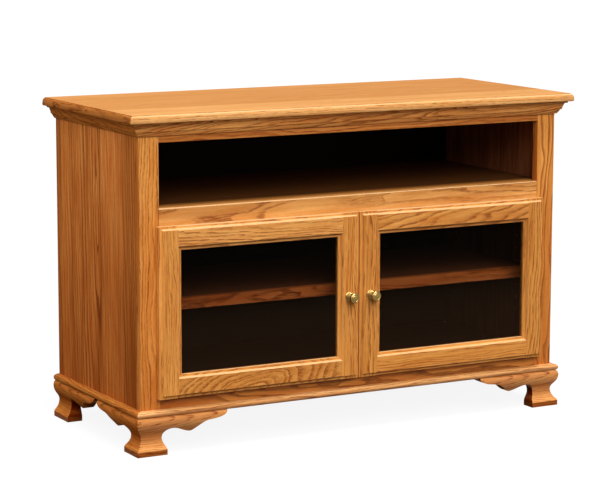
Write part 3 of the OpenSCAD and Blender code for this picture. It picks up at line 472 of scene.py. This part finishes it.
# The deck's golden front strip is a painted pool of light
eased("media_deck", dark_stain("oak_veneer_stained_brown", "5C3618", "381E0C",
                               painted_light_front=(deck_front, deck_front + lit_depth)), board_ease)
eased("cabinet_bottom", dark_stain("oak_veneer_stained_umber", "38200F", "201109"), board_ease)
for node in ("top_cleats", "foot_corner_blocks"):
    block_oak = oak("oak_" + node, node, X, Z, heart=(0, 0.05, -0.04))
    frame["nodes"][node].data.materials.clear()
    frame["nodes"][node].data.materials.append(block_oak)


# Face frame. Two upright stiles and three rails of solid oak, tenoned together flush and glued
# to the front of the case. The stiles are rift sawn, so their grain is long close lines.
# The arris finish is a painted highlight: pale where an arris looks up towards the lamps
arris_oak, arris_tree = blank("oak_arris_painted_highlight")
arris_place = add(arris_tree, "TexCoord")
# Flecks 4 mm long, where the arris crosses pores
arris_flecks = add(arris_tree, "TexNoise", {"Vector": arris_place["Object"], "Scale": 240.0,
                                            "Detail": 2.0})["Fac"]
arris_highlight_colour = add(arris_tree, "MixRGB", [arris_flecks, linear("D8944C"), linear("FACF98")])
# Painted shade: arrises that look down are painted dark, and they shine less
arris_normal = add(arris_tree, "SeparateXYZ", [arris_place["Normal"]])
arris_facing_up = add(arris_tree, "MapRange", [arris_normal[Z], -0.35, 0.1])
arris_colour = add(arris_tree, "MixRGB", [arris_facing_up[0], linear("7A3C12"), arris_highlight_colour[0]])
arris_shine = add(arris_tree, "MapRange", {"Value": arris_facing_up[0], "To Max": 0.35})
arris_gloss = add(arris_tree, "MapRange", {"Value": arris_facing_up[0], "To Max": 0.15})
arris_surface = add(arris_tree, "BsdfPrincipled", {
    "Base Color": arris_colour[0], "Roughness": 0.34, "Specular IOR Level": arris_shine[0],
    "Coat Weight": arris_gloss[0], "Coat Roughness": 0.2})
add(arris_tree, "OutputMaterial", {"Surface": arris_surface[0]})
stile_ease, rail_ease, top_rail_ease = 0.0015, 0.003, 0.001
stile_figure = {
    "left": dict(ring=0.0078, wave=0.008, slope=0.1, deep="7A2C02"),
    "right": dict(ring=0.015, wave=0.02, slope=0.02, deep="7A2600", flecks=1.0),
}
for side, sign in (("left", 1), ("right", -1)):
    node = side + "_frame_stile"
    stile_oak = oak("oak_" + node, node, Z, Y, heart=(0.1, 0.13 * sign, 0.05), painted_light=painted_shade_towards_floor,
                    tint="E28D3A", bright="F9AD57", **stile_figure[side])
    edge_oak = oak("oak_of_the_edge_of_" + node, node, Z, X, heart=(0.1, 0.1, 0.05), slope=0.02,
                   ring=0.012, rosy=0.7, **side_finish)
    stile = eased(node, stile_oak, stile_ease, Z, arris_oak)
    for way in (1, -1):
        finish_facing(stile, X, way, edge_oak)
rail_figure = {
    "top_frame_rail": dict(heart=(0.4, 0.10, 0.05), slope=0.02, tint="C0702E", bright="D48740"),
    "middle_frame_rail": dict(heart=(-0.22, 0.004, 0.03), slope=0.05, ring=0.012, line=0.4,
                              tint="DA9448", bright="ECAE64", deep="86400E", rosy=0.35,
                              pores=0.4, flecks=0.4),
    "bottom_frame_rail": dict(heart=(0.2, 0.03, 0.05), slope=0.04, tint="B96C2D",
                              bright="CA8139", deep="521E06", rosy=0.6, flecks=0.7),
}
for node, figure in rail_figure.items():
    rail_oak = oak("oak_" + node, node, X, Y, **figure)
    if node.startswith("top"):
        eased(node, rail_oak, top_rail_ease, X)
    else:
        eased(node, rail_oak, rail_ease, X, arris_oak)


# Top. Solid oak boards glued edge to edge, with a small step and a rounded nose routed round the
# front and both sides; the back is left square. Screwed up to the case from inside.
def bend(start, pull, push, end, steps):
    """A cubic curve: the four points weighted by the powers of t and 1 - t. Its first point
    is left out, so that stretches follow on."""
    t = np.linspace(0, 1, steps + 1)[1:, None]
    p, q, r, s = (np.asarray(v, float) for v in (start, pull, push, end))
    return (1 - t) ** 3 * p + 3 * (1 - t) ** 2 * t * q + 3 * (1 - t) * t ** 2 * r + t ** 3 * s


def arc(centre, radii, start, end, steps):
    """Part of an ellipse from one angle to another, in degrees, without its first point."""
    a = np.radians(np.linspace(start, end, steps + 1)[1:])
    return np.column_stack([centre[0] + radii[0] * np.cos(a), centre[1] + radii[1] * np.sin(a)])


def patchwork(name, grids):
    """A closed solid from grids of points, rows by columns by 3, whose rims meet: each cell
    of a grid is one four-sided face."""
    points, faces, start = [], [], 0
    for grid in grids:
        rows, columns = grid.shape[:2]
        cell = start + np.arange(rows * columns).reshape(rows, columns)
        faces.append(np.stack([cell[:-1, :-1], cell[:-1, 1:], cell[1:, 1:], cell[1:, :-1]],
                              axis=-1).reshape(-1, 4))
        points.append(grid.reshape(-1, 3))
        start += rows * columns
    return solid(name, np.vstack(points), np.vstack(faces))


half_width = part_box("right_side_panel")[1].x
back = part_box("right_side_panel")[1].y
top_low, top_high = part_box("top_slab")
top_thick = top_high.z - top_low.z
overhang = front - top_low.y
edge_width, edge_step, nose_height, under_radius = 0.0065, 0.0015, 0.006, 0.0035
top_edge = np.vstack([
    [[overhang - edge_width, top_thick], [overhang - edge_width, top_thick - edge_step]],
    arc((overhang - edge_width, nose_height), (edge_width, top_thick - edge_step - nose_height),
        90, 0, 16),
    [[overhang, under_radius]],
    arc((overhang - under_radius, under_radius), (under_radius, under_radius), 0, -90, 8)])


def round_case(section, base):
    """A moulded edge carried along the left side, the front and the right side of the case:
    each point of the section stands its own distance out of all three, so the corners mitre."""
    out, height = section[:, 0], section[:, 1] + base
    wide = half_width + out
    left_back = np.column_stack([-wide, np.full_like(out, back), height])
    left_front = np.column_stack([-wide, front - out, height])
    right_front = left_front * (-1, 1, 1)
    right_back = left_back * (-1, 1, 1)
    return np.stack([left_back, left_front, right_front, right_back], axis=1)


top_rim = round_case(top_edge, top_low.z)
# Its upper face and its underside each span the four corners of the rim
four_corners = [[0, 3], [1, 2]]
top_mesh = patchwork("oak_top", [top_rim, top_rim[0][four_corners], top_rim[-1][four_corners],
                                 top_rim[:, [0, 3]]])
nose_oak = oak("oak_of_the_top_edge", "top_slab", X, Z, tint="D6924C", bright="EAAE6C",
               deep="985624", heart=(-0.1, -0.25, -0.5), slope=0.01, ring=0.005, line=0.4,
               wave=0.004, rosy=0.0, pores=0.9, flecks=0.0)
face_oak = oak("oak_of_the_top_face", "top_slab", X, Z, heart=(-0.1, 0.02, -0.09), slope=0.02,
               board=0.105, ring=0.012, line=0.3, rosy=0.12, pores=0.25, tint="D99C5C",
               bright="E4AC6E", deep="BE7C44", shine=0.0, gloss=0.0)
made_top = dress("oak_top", top_mesh, nose_oak, ["top_slab"], ease=0.0009, crease=28)
# The upper half of the nose gets the arris finish with its painted highlight
finish_facing(made_top, Z, 1, arris_oak, within=50)
finish_facing(made_top, Z, 1, face_oak)
back_oak = oak("oak_of_the_back_edge", "top_slab", X, Y, heart=(0.1, 0.02, -0.05), **side_finish)
finish_facing(made_top, Y, 1, back_oak)
for side, sign in (("left", -1), ("right", 1)):
    edge_oak = oak(f"oak_of_the_{side}_edge", "top_slab", Y, Z, heart=(0.1, 0.02, -0.05),
                   ring=0.008, **dict(side_finish, tint="A86228", bright="BA763A", flecks=0.2))
    finish_facing(made_top, X, sign, edge_oak, within=87)


# Crown moulding. Solid oak run on a shaper to a cove and bead, mitred at the front corners and
# glued under the top.
def along_front(section, base):
    """The front length of a mitred moulding, as its grid of section points by two ends."""
    return round_case(section, base)[:, 1:3]


def along_left(section, base):
    """The left length of the same moulding."""
    return round_case(section, base)[:, 0:2]


def moulding(name, node, section, lay, material, ease=0.0005):
    """A length of moulding: its moulded face, its flat back against the case, and its ends."""
    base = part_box(node)[0].z
    face = lay(section, base)
    flat_back = lay(section * (0, 1), base)
    ends = [np.stack([face[:, i], flat_back[:, i]], axis=1) for i in (0, 1)]
    grids = [face, flat_back, *ends]
    if node.endswith("right"):
        grids = [g * (-1, 1, 1) for g in grids]
    return dress(name, patchwork(name, grids), material, [node], ease, crease=30)


crown_low, crown_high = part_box("crown_front")
crown_out, crown_height = front - crown_low.y, crown_high.z - crown_low.z
crown_foot, crown_fillet = 0.004, 0.0045
bead_top, cove_foot = (0.0108, 0.011), (0.0132, 0.011)
cove_top = (crown_out - 0.005, crown_height - crown_fillet)
crown = np.vstack([
    [[0, 0], [crown_foot, 0]],
    bend((crown_foot, 0), (0.0065, 0.0032), (0.0084, 0.006), bead_top, 10),
    [cove_foot],
    bend(cove_foot, (0.0146, 0.017), (0.0156, 0.022), cove_top, 14),
    [[crown_out, crown_height - crown_fillet], [crown_out, crown_height], [0, crown_height]]])
moulding_side_finish = dict(side_finish, tint="BE6C2C", bright="D2863C", deep="7E401A", flecks=0.2)
crown_front_finish = dict(tint="F69A4A", bright="FFB664", deep="7A2C04", flecks=0.5, shine=0.04,
                          gloss=0.0)
sides = {"front": (along_front, X, Y), "left": (along_left, Y, X), "right": (along_left, Y, X)}
for side, (lay, grain, face_axis) in sides.items():
    node = "crown_" + side
    crown_oak = oak("oak_" + node, node, grain, face_axis, heart=(0.2, 0.006, 0.022), slope=0.09,
                    ring=0.007, rosy=0.3, line=0.45,
                    **(crown_front_finish if side == "front" else moulding_side_finish))
    moulding("moulded_" + node, node, crown, lay, crown_oak)


# Base moulding. A half-round bead of oak, run on a shaper, mitred round the foot of the case
# and glued to it.
base_low, base_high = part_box("base_moulding_front")
bead_out, bead_height = front - base_low.y, base_high.z - base_low.z
bead_under, bead_middle = (bead_out * 0.68, 0), (bead_out, bead_height * 0.5)
bead_crest = (bead_out * 0.25, bead_height)
bead = np.vstack([
    [[0, 0], bead_under],
    bend(bead_under, (bead_out * 0.86, 0.0008), (bead_out, bead_height * 0.26), bead_middle, 10),
    bend(bead_middle, (bead_out, bead_height * 0.82), (bead_out * 0.7, bead_height * 0.96),
         bead_crest, 14),
    [[0, bead_height]]])
# Painted light on the bead: painted shade low down and a painted highlight along its upper third
bead_painted_light = [(base_low.z, 0.66), (base_low.z + bead_height * 0.4, 0.76),
              (base_low.z + bead_height * 0.75, 1.0), (base_high.z, 0.95)]
bead_front_finish = dict(gloss=0.25, painted_light=bead_painted_light, tint="E49F58", bright="F8BE7E",
                         deep="8A4818", flecks=0.2)
for side, (lay, grain, face_axis) in sides.items():
    node = "base_moulding_" + side
    bead_oak = oak("oak_" + node, node, grain, face_axis, heart=(-0.3, 0.09, 0.06), ring=0.007,
                   **(bead_front_finish if side == "front" else moulding_side_finish))
    moulding("moulded_" + node, node, bead, lay, bead_oak)


# Feet. Ogee brackets: two wings of thick oak shaped to a double curve, sawn to a scroll along
# the underside and mitred at each front corner. The rear ones end square at a plain bracket.
foot_low, foot_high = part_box("front_left_foot_front")
foot_height = foot_high.z
bulge_out, foot_depth = front - foot_low.y, foot_high.y - front
wing_length = foot_high.x + half_width
side_wing_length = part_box("front_left_foot_side")[1].y - front
rear_more = (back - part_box("rear_left_foot_side")[0].y) - side_wing_length
pad_out, pad_band, ankle_out, shoulder_out = bulge_out - 0.001, 0.012, 0.0012, 0.011
ankle, bulge, middle_z = foot_height * 0.466, foot_height * 0.864, foot_height * 0.63
middle_out = ankle_out + (bulge_out - ankle_out) * 0.46
flare = np.array([ankle_out + (pad_out - ankle_out) * 0.63, pad_band + (ankle - pad_band) * 0.25])
hollow, turning = (ankle_out, ankle), (middle_out, middle_z)
belly, shoulder = (bulge_out, bulge), (shoulder_out, foot_height)
ogee = np.vstack([
    [[pad_out, 0], [pad_out, pad_band]],
    bend((pad_out, pad_band), (pad_out - 0.001, pad_band + 0.003), flare + (0.002, -0.002),
         flare, 5),
    bend(flare, flare * (0, 1) + (ankle_out + 0.003, 0.006), (ankle_out, ankle - 0.008),
         hollow, 10),
    bend(hollow, (ankle_out, ankle + 0.005), (ankle_out + 0.0035, middle_z - 0.0045), turning, 9),
    bend(turning, (middle_out + 0.005, middle_z + 0.006), (bulge_out, bulge - 0.007), belly, 9),
    bend(belly, (bulge_out, bulge + 0.006), (shoulder_out + 0.0035, foot_height - 0.001),
         shoulder, 9)])
pad_length, scroll, cusp = 0.061, foot_height * 0.67, foot_height * 0.523
ankle_length, lobe = pad_length - 0.0085, foot_height * 0.795
leg = np.vstack([
    [[pad_length, 0], [pad_length, pad_band]],
    bend((pad_length, pad_band), (pad_length - 0.001, pad_band + 0.009),
         (ankle_length, ankle - 0.015), (ankle_length, ankle - 0.005), 12)])


def scroll_of(length):
    """The sawn underside of a wing so long, from the ankle to its tip, as points of distance
    and height: an arch, a cusp at 0.57 of the length, a lobe and a rounded tip."""
    arch_foot, arch_top = (ankle_length, ankle - 0.005), (ankle_length + 0.024, scroll)
    end, lobe_top = length * 0.571, (length * 0.8, lobe)
    tip_foot, tip = (length * 0.943, lobe + 0.006), (length, foot_height)
    return np.vstack([
        leg[-1:],
        bend(arch_foot, (ankle_length, scroll - 0.009), (ankle_length + 0.0105, scroll),
             arch_top, 12),
        bend(arch_top, (ankle_length + 0.040, scroll + 0.001), (end - 0.017, cusp + 0.001),
             (end, cusp), 10),
        bend((end, cusp), (end + 0.015, cusp + 0.001), (length * 0.69, lobe), lobe_top, 12),
        bend(lobe_top, (length * 0.86, lobe + 0.0015), (length * 0.905, lobe + 0.0025),
             tip_foot, 6),
        bend(tip_foot, (length * 0.977, lobe + 0.009), (length, foot_height - 0.005), tip, 7)])


def wing(name, corner, ahead, outward, length, more):
    """One wing of a foot. A point lies so far ahead of the corner of the case, so far outward
    and so high; outward is the ogee's reach at that height on the face and the stock's depth
    on the back. The leg is rows of constant height, and the rest is upright columns from the
    scroll to the top, so their shared column is at the ankle. It is mitred at the corner, or
    with more it goes on so much further behind it and ends square."""
    rows = 30
    share = np.linspace(0, 1, rows)[:, None]
    scrolled = scroll_of(length)
    above_leg = leg[-1, 1] + share[1:, 0] * (foot_height - leg[-1, 1])
    heights = np.concatenate([leg[:, 1], above_leg])
    reach = np.concatenate([leg[:, 0], np.full(rows - 1, ankle_length)])
    column_z = scrolled[:, 1] + share * (foot_height - scrolled[:, 1])
    column_u = np.broadcast_to(scrolled[:, 0], column_z.shape)

    def placed(u, out, z):
        """Distances ahead, outward and up as points in the object's frame."""
        u, out, z = np.broadcast_arrays(u, out, z)
        return (np.array([*corner, 0.0]) + u[..., None] * np.array([*ahead, 0.0])
                + out[..., None] * np.array([*outward, 0.0]) + z[..., None] * np.array([0, 0, 1.0]))

    def leaf(out_at):
        """The leg and scroll grids, and their rims, of the face or the back."""
        out = out_at(heights)
        inner = placed(0 * out - more if more else -out, out, heights)
        outer = placed(reach, out, heights)
        columns = placed(column_u, out_at(column_z), column_z)
        under = np.vstack([outer[:len(leg)], columns[0, 1:]])
        crest = np.vstack([inner[-1:], columns[-1]])
        return np.stack([inner, outer], axis=1), columns, inner, under, crest

    face = leaf(lambda z: np.interp(z, ogee[:, 1], ogee[:, 0]))
    rear = leaf(lambda z: 0 * z - foot_depth)
    rims = [np.stack(pair) for pair in zip(face[2:], rear[2:])]
    sole = np.stack([np.stack([face[2][0], face[3][0]]), np.stack([rear[2][0], rear[3][0]])])
    return patchwork(name, [*face[:2], *rear[:2], *rims, sole])


# Painted light on the feet: painted shade on the pad and in the hollow of the ankle, and painted
# highlights on the flare and the bulge
foot_painted_light = [(pad_band, 0.80), (pad_band * 1.3, 0.92), (ankle * 0.6, 0.84), (ankle, 0.66),
              (middle_z, 0.72), (bulge, 0.92), (foot_height, 0.76)]
foot_front_finish = dict(gloss=0.25, tint="E2984E", bright="F4B068")
foot_side_finish = dict(side_finish, deep="7E401A")
for side, sign in (("left", 1), ("right", -1)):
    places = {
        f"front_{side}_foot_front": ((-sign * half_width, front), (sign, 0), (0, -1),
                                     wing_length, 0),
        f"front_{side}_foot_side": ((-sign * half_width, front), (0, 1), (-sign, 0),
                                    side_wing_length, 0),
        f"rear_{side}_foot_side": ((-sign * half_width, back - rear_more), (0, -1), (-sign, 0),
                                   side_wing_length, rear_more),
    }
    for node, placing in places.items():
        grain, face_axis = (X, Y) if node.endswith("front") else (Y, X)
        foot_oak = oak("oak_" + node, node, grain, face_axis, heart=(0.05, 0.02, 0.05),
                       slope=0.05, ring=0.006, wave=0.006, rosy=0.4, painted_light=foot_painted_light,
                       flecks=0.1, line=0.3, ends=1.0,
                       **(foot_front_finish if face_axis == Y else foot_side_finish))
        foot = dress("shaped_" + node, wing("shaped_" + node, *placing), foot_oak, [node],
                     ease=0.0012, crease=32)
        # The band under the flare has a darker finish of its own
        band_oak = oak("oak_of_the_pad_of_" + node, node, grain, face_axis, rosy=0.5, ring=0.006,
                       heart=(0.05, 0.02, 0.03), shine=0.02, gloss=0.0, tint="8C4819",
                       bright="A45E26", deep="50200A")
        shape = foot.data
        shape.materials.append(band_oak)
        corners = read(shape.loops, "vertex_index", kind=int)
        tops = np.maximum.reduceat(read(shape.vertices, "co", 3)[corners, Z],
                                   read(shape.polygons, "loop_start", kind=int))
        shape.polygons.foreach_set("material_index", (tops < pad_band + 1e-5).astype(int))
    node = f"rear_{side}_foot_back"
    eased(node, oak("oak_" + node, node, X, Y, heart=(0.03, 0.05, 0.05)), ease=0.001)


# Adjustable shelf. A dark board with a solid golden strip glued along its front edge, lying on
# four nickel-plated pins in rows of holes.
nosing_oak = oak("oak_of_the_shelf_front", "shelf_nosing", X, Y, heart=(-0.25, 0.004, 0.03),
                 tint="EE7A33", bright="F89048", rosy=0.5)
eased("adjustable_shelf", dark_stain("oak_veneer_of_the_shelf", "8C5434", "6A3A22"), board_ease)
eased("shelf_nosing", nosing_oak, ease=0.0015)


# Doors. Cope and stick frames of oak, moulded round the outside and round the glass, with grain
# that runs up the stiles and along the rails. Smoked glass lies in a rabbet behind four stops.
member_ease, stop_ease = 0.0022, 0.0006
door_figure = {
    "left_door_hinge_stile": dict(heart=(0.0, 0.10, 0.05), ring=0.006, line=0.3, flecks=0.1),
    "left_door_meeting_stile": dict(heart=(0.1, 0.07, 0.05), ring=0.006, line=0.3, flecks=0.1),
    "left_door_top_rail": dict(heart=(0.1, 0.05, 0.04), ring=0.006, wave=0.006, slope=0.06,
                               tint="DA9046", bright="EEAC5E", flecks=0.2),
    "left_door_bottom_rail": dict(heart=(-0.1, -0.05, 0.02), slope=0.4, ring=0.0095, line=0.5,
                                  wave=0.008, tint="C67B32", bright="DC984B"),
    "right_door_hinge_stile": dict(heart=(0.0, -0.08, 0.05), ring=0.0075, flecks=0.2,
                                   tint="C77C32", bright="DD994B"),
    "right_door_meeting_stile": dict(heart=(0.1, 0.09, 0.05), ring=0.007, flecks=0.1,
                                     tint="CA7E33", bright="E09B4C"),
    "right_door_top_rail": dict(heart=(0.2, -0.02, 0.03), slope=0.09, ring=0.0065, wave=0.007,
                                tint="D4863A", bright="E8A454"),
    "right_door_bottom_rail": dict(heart=(-0.1, 0.06, 0.05), ring=0.007, line=0.3),
}
for node, figure in door_figure.items():
    grain = X if node.endswith("rail") else Z
    member_oak = oak("oak_" + node, node, grain, Y, **figure)
    member = eased(node, member_oak, member_ease, grain, arris_oak)
    # Where the lip looks up, it gets the arris finish with its painted highlight
    finish_facing(member, Z, 1, arris_oak, within=50)
smoked, smoked_tree = blank("smoked_float_glass")
smoked_place = add(smoked_tree, "TexCoord")
# Wipe marks: faint streaks about 60 mm long, which only change how it shines
smoked_scaled = add(smoked_tree, "VectorMath", [smoked_place["Object"], (16, 16, 60)],
                    operation="MULTIPLY")
smoked_marks = add(smoked_tree, "TexNoise", {"Vector": smoked_scaled[0], "Scale": 1.0,
                                             "Detail": 3.0})["Fac"]
smoked_rough = add(smoked_tree, "MapRange", {"Value": smoked_marks, "To Min": 0.02,
                                             "To Max": 0.07})
# Painted light: the glass is coloured lighter and warmer on its lower half
lit_below, dark_above = 0.28, 0.38
smoked_axes = add(smoked_tree, "SeparateXYZ", [smoked_place["Object"]])
smoked_painted_light = add(smoked_tree, "MapRange", [smoked_axes[Z], dark_above, lit_below],
                  interpolation_type="SMOOTHSTEP")
smoked_colour = add(smoked_tree, "MixRGB", [smoked_painted_light[0], linear("0C0805"), linear("2E2015")])
smoked_surface = add(smoked_tree, "BsdfPrincipled", {
    "Base Color": smoked_colour[0], "Roughness": smoked_rough[0], "IOR": 1.5,
    "Specular IOR Level": 0.02, "Alpha": 0.25})
add(smoked_tree, "OutputMaterial", {"Surface": smoked_surface[0]})
for side in ("left", "right"):
    node = f"{side}_door_glass_stops"
    eased(node, oak("oak_" + node, node, X, Y, heart=(0.0, 0.1, 0.05)), stop_ease)
    glass_mesh = frame["nodes"][f"{side}_door_glass"].data
    glass_mesh.materials.clear()
    glass_mesh.materials.append(smoked)


# Knobs. Turned brass, aged under its lacquer: a foot, a neck with four beads and a head with
# a ring turned in its face. One screw from behind holds each.
brass, brass_tree = blank("turned_lacquered_brass")
brass_place = add(brass_tree, "TexCoord")
# Tarnish under the lacquer in spots 2 mm wide
brass_spots = add(brass_tree, "TexNoise", {"Vector": brass_place["Object"], "Scale": 450.0,
                                           "Detail": 2.0})["Fac"]
brass_tarnish_shaded = add(brass_tree, "MixRGB", [brass_spots, linear("4A3616"), linear("A08044")])
brass_tarnish_lit = add(brass_tree, "MixRGB", [brass_spots, linear("9C7C40"), linear("DABA7A")])
# Painted light: the upper sides are coloured as lit and the lower ones as shaded
brass_normal = add(brass_tree, "SeparateXYZ", [brass_place["Normal"]])
brass_facing_up = add(brass_tree, "MapRange", [brass_normal[Z], -0.2, 0.8])
brass_colour = add(brass_tree, "MixRGB", [brass_facing_up[0], brass_tarnish_shaded[0], brass_tarnish_lit[0]])
brass_rough = add(brass_tree, "MapRange", {"Value": brass_spots, "To Min": 0.3, "To Max": 0.12})
brass_surface = add(brass_tree, "BsdfPrincipled", {
    "Base Color": brass_colour[0], "Metallic": 1.0, "Roughness": brass_rough[0]})
add(brass_tree, "OutputMaterial", {"Surface": brass_surface[0]})


def turned(name, profile, centre, steps=64):
    """A lathe-turned solid whose axis runs along -Y from its centre: each point of the profile
    is a radius and a distance out, carried round a full circle."""
    angle = np.linspace(0, 2 * math.pi, steps + 1)
    radius, out = profile[:, :1], profile[:, 1:]
    grid = np.stack([centre[0] + radius * np.cos(angle), centre[1] - out + 0 * angle,
                     centre[2] + radius * np.sin(angle)], axis=-1)
    return patchwork(name, [grid])


for side in ("left", "right"):
    low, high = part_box(f"{side}_door_knob")
    knob_out, knob_radius = high.y - low.y, (high.z - low.z) / 2
    foot_radius, neck_radius, rim = 0.0122, 0.0106, knob_out - 0.0084
    bead_start, bead_pitch, bead_radii = 0.0052, 0.0046, (0.0015, 0.0021)
    foot_edge, neck_foot = (foot_radius, 0.0014), (neck_radius, 0.003)
    head_start, head_side = (knob_radius - 0.001, rim), (knob_radius, rim + 0.0022)
    groove_outer = (knob_radius - 0.0042, knob_out - 0.0006)
    groove_inner = (knob_radius - 0.006, knob_out - 0.0007)
    knob = np.vstack([
        [[0, 0], [foot_radius, 0], foot_edge],
        bend(foot_edge, (foot_radius - 0.001, 0.0024), (neck_radius, 0.0022), neck_foot, 6),
        *(arc((neck_radius, bead_start + bead_pitch * i), bead_radii, -90, 90, 10)
          for i in range(4)),
        bend(head_start, (knob_radius - 0.0004, rim + 0.0006), (knob_radius, rim + 0.0012),
             head_side, 5),
        bend(head_side, (knob_radius, knob_out - 0.0024),
             (knob_radius - 0.0024, knob_out - 0.0004), groove_outer, 12),
        bend(groove_outer, (knob_radius - 0.0048, knob_out - 0.0016),
             (knob_radius - 0.0054, knob_out - 0.0016), groove_inner, 8),
        bend(groove_inner, (knob_radius - 0.008, knob_out - 0.0001), (0.002, knob_out),
             (0, knob_out), 8)])
    knob_centre = ((low.x + high.x) / 2, high.y, (low.z + high.z) / 2)
    dress(f"turned_{side}_knob", turned(f"turned_{side}_knob", knob, knob_centre), brass,
          [f"{side}_door_knob"], crease=40)


# Hinges, screws, pins and bumpers. Pressed nickel-plated steel cups and arms, zinc-plated
# screws, and soft clear rubber pads that quiet the doors.
def plated(name, colour, roughness):
    """Plated steel: a dull metal whose fine rolling lines, drawn 0.8 mm apart, vary its shine."""
    material, tree = blank(name)
    place = add(tree, "TexCoord")
    scaled = add(tree, "VectorMath", [place["Object"], (1250, 1250, 150)], operation="MULTIPLY")
    lines = add(tree, "TexNoise", {"Vector": scaled[0], "Scale": 1.0, "Detail": 1.0})["Fac"]
    shade = add(tree, "MixRGB", [lines, linear(colour), linear("D8D6D0")])
    rough = add(tree, "MapRange", {"Value": lines, "To Min": roughness, "To Max": roughness + 0.15})
    surface = add(tree, "BsdfPrincipled", {"Base Color": shade[0], "Metallic": 1.0,
                                           "Roughness": rough[0]})
    add(tree, "OutputMaterial", {"Surface": surface[0]})
    return material


nickel = plated("nickel_plated_steel", "B5B1A6", 0.22)
zinc = plated("zinc_plated_steel", "A9ABAD", 0.34)
# Moulded rubber: dust in its skin clouds it over a millimetre or two
rubber, rubber_tree = blank("clear_rubber")
rubber_place = add(rubber_tree, "TexCoord")
rubber_dust = add(rubber_tree, "TexNoise", {"Vector": rubber_place["Object"], "Scale": 700.0})
rubber_colour = add(rubber_tree, "MixRGB", [rubber_dust["Fac"], linear("A9A59A"),
                                            linear("C4C0B4")])
rubber_surface = add(rubber_tree, "BsdfPrincipled", {"Base Color": rubber_colour[0],
                                                     "Roughness": 0.5})
add(rubber_tree, "OutputMaterial", {"Surface": rubber_surface[0]})
metal_of = {"nickel_steel": nickel, "zinc_steel": zinc, "clear_rubber": rubber}
for node, finish in slot_of.items():
    if finish in metal_of:
        mesh = frame["nodes"][node].data
        mesh.materials.clear()
        mesh.materials.append(metal_of[finish])

low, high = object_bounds()
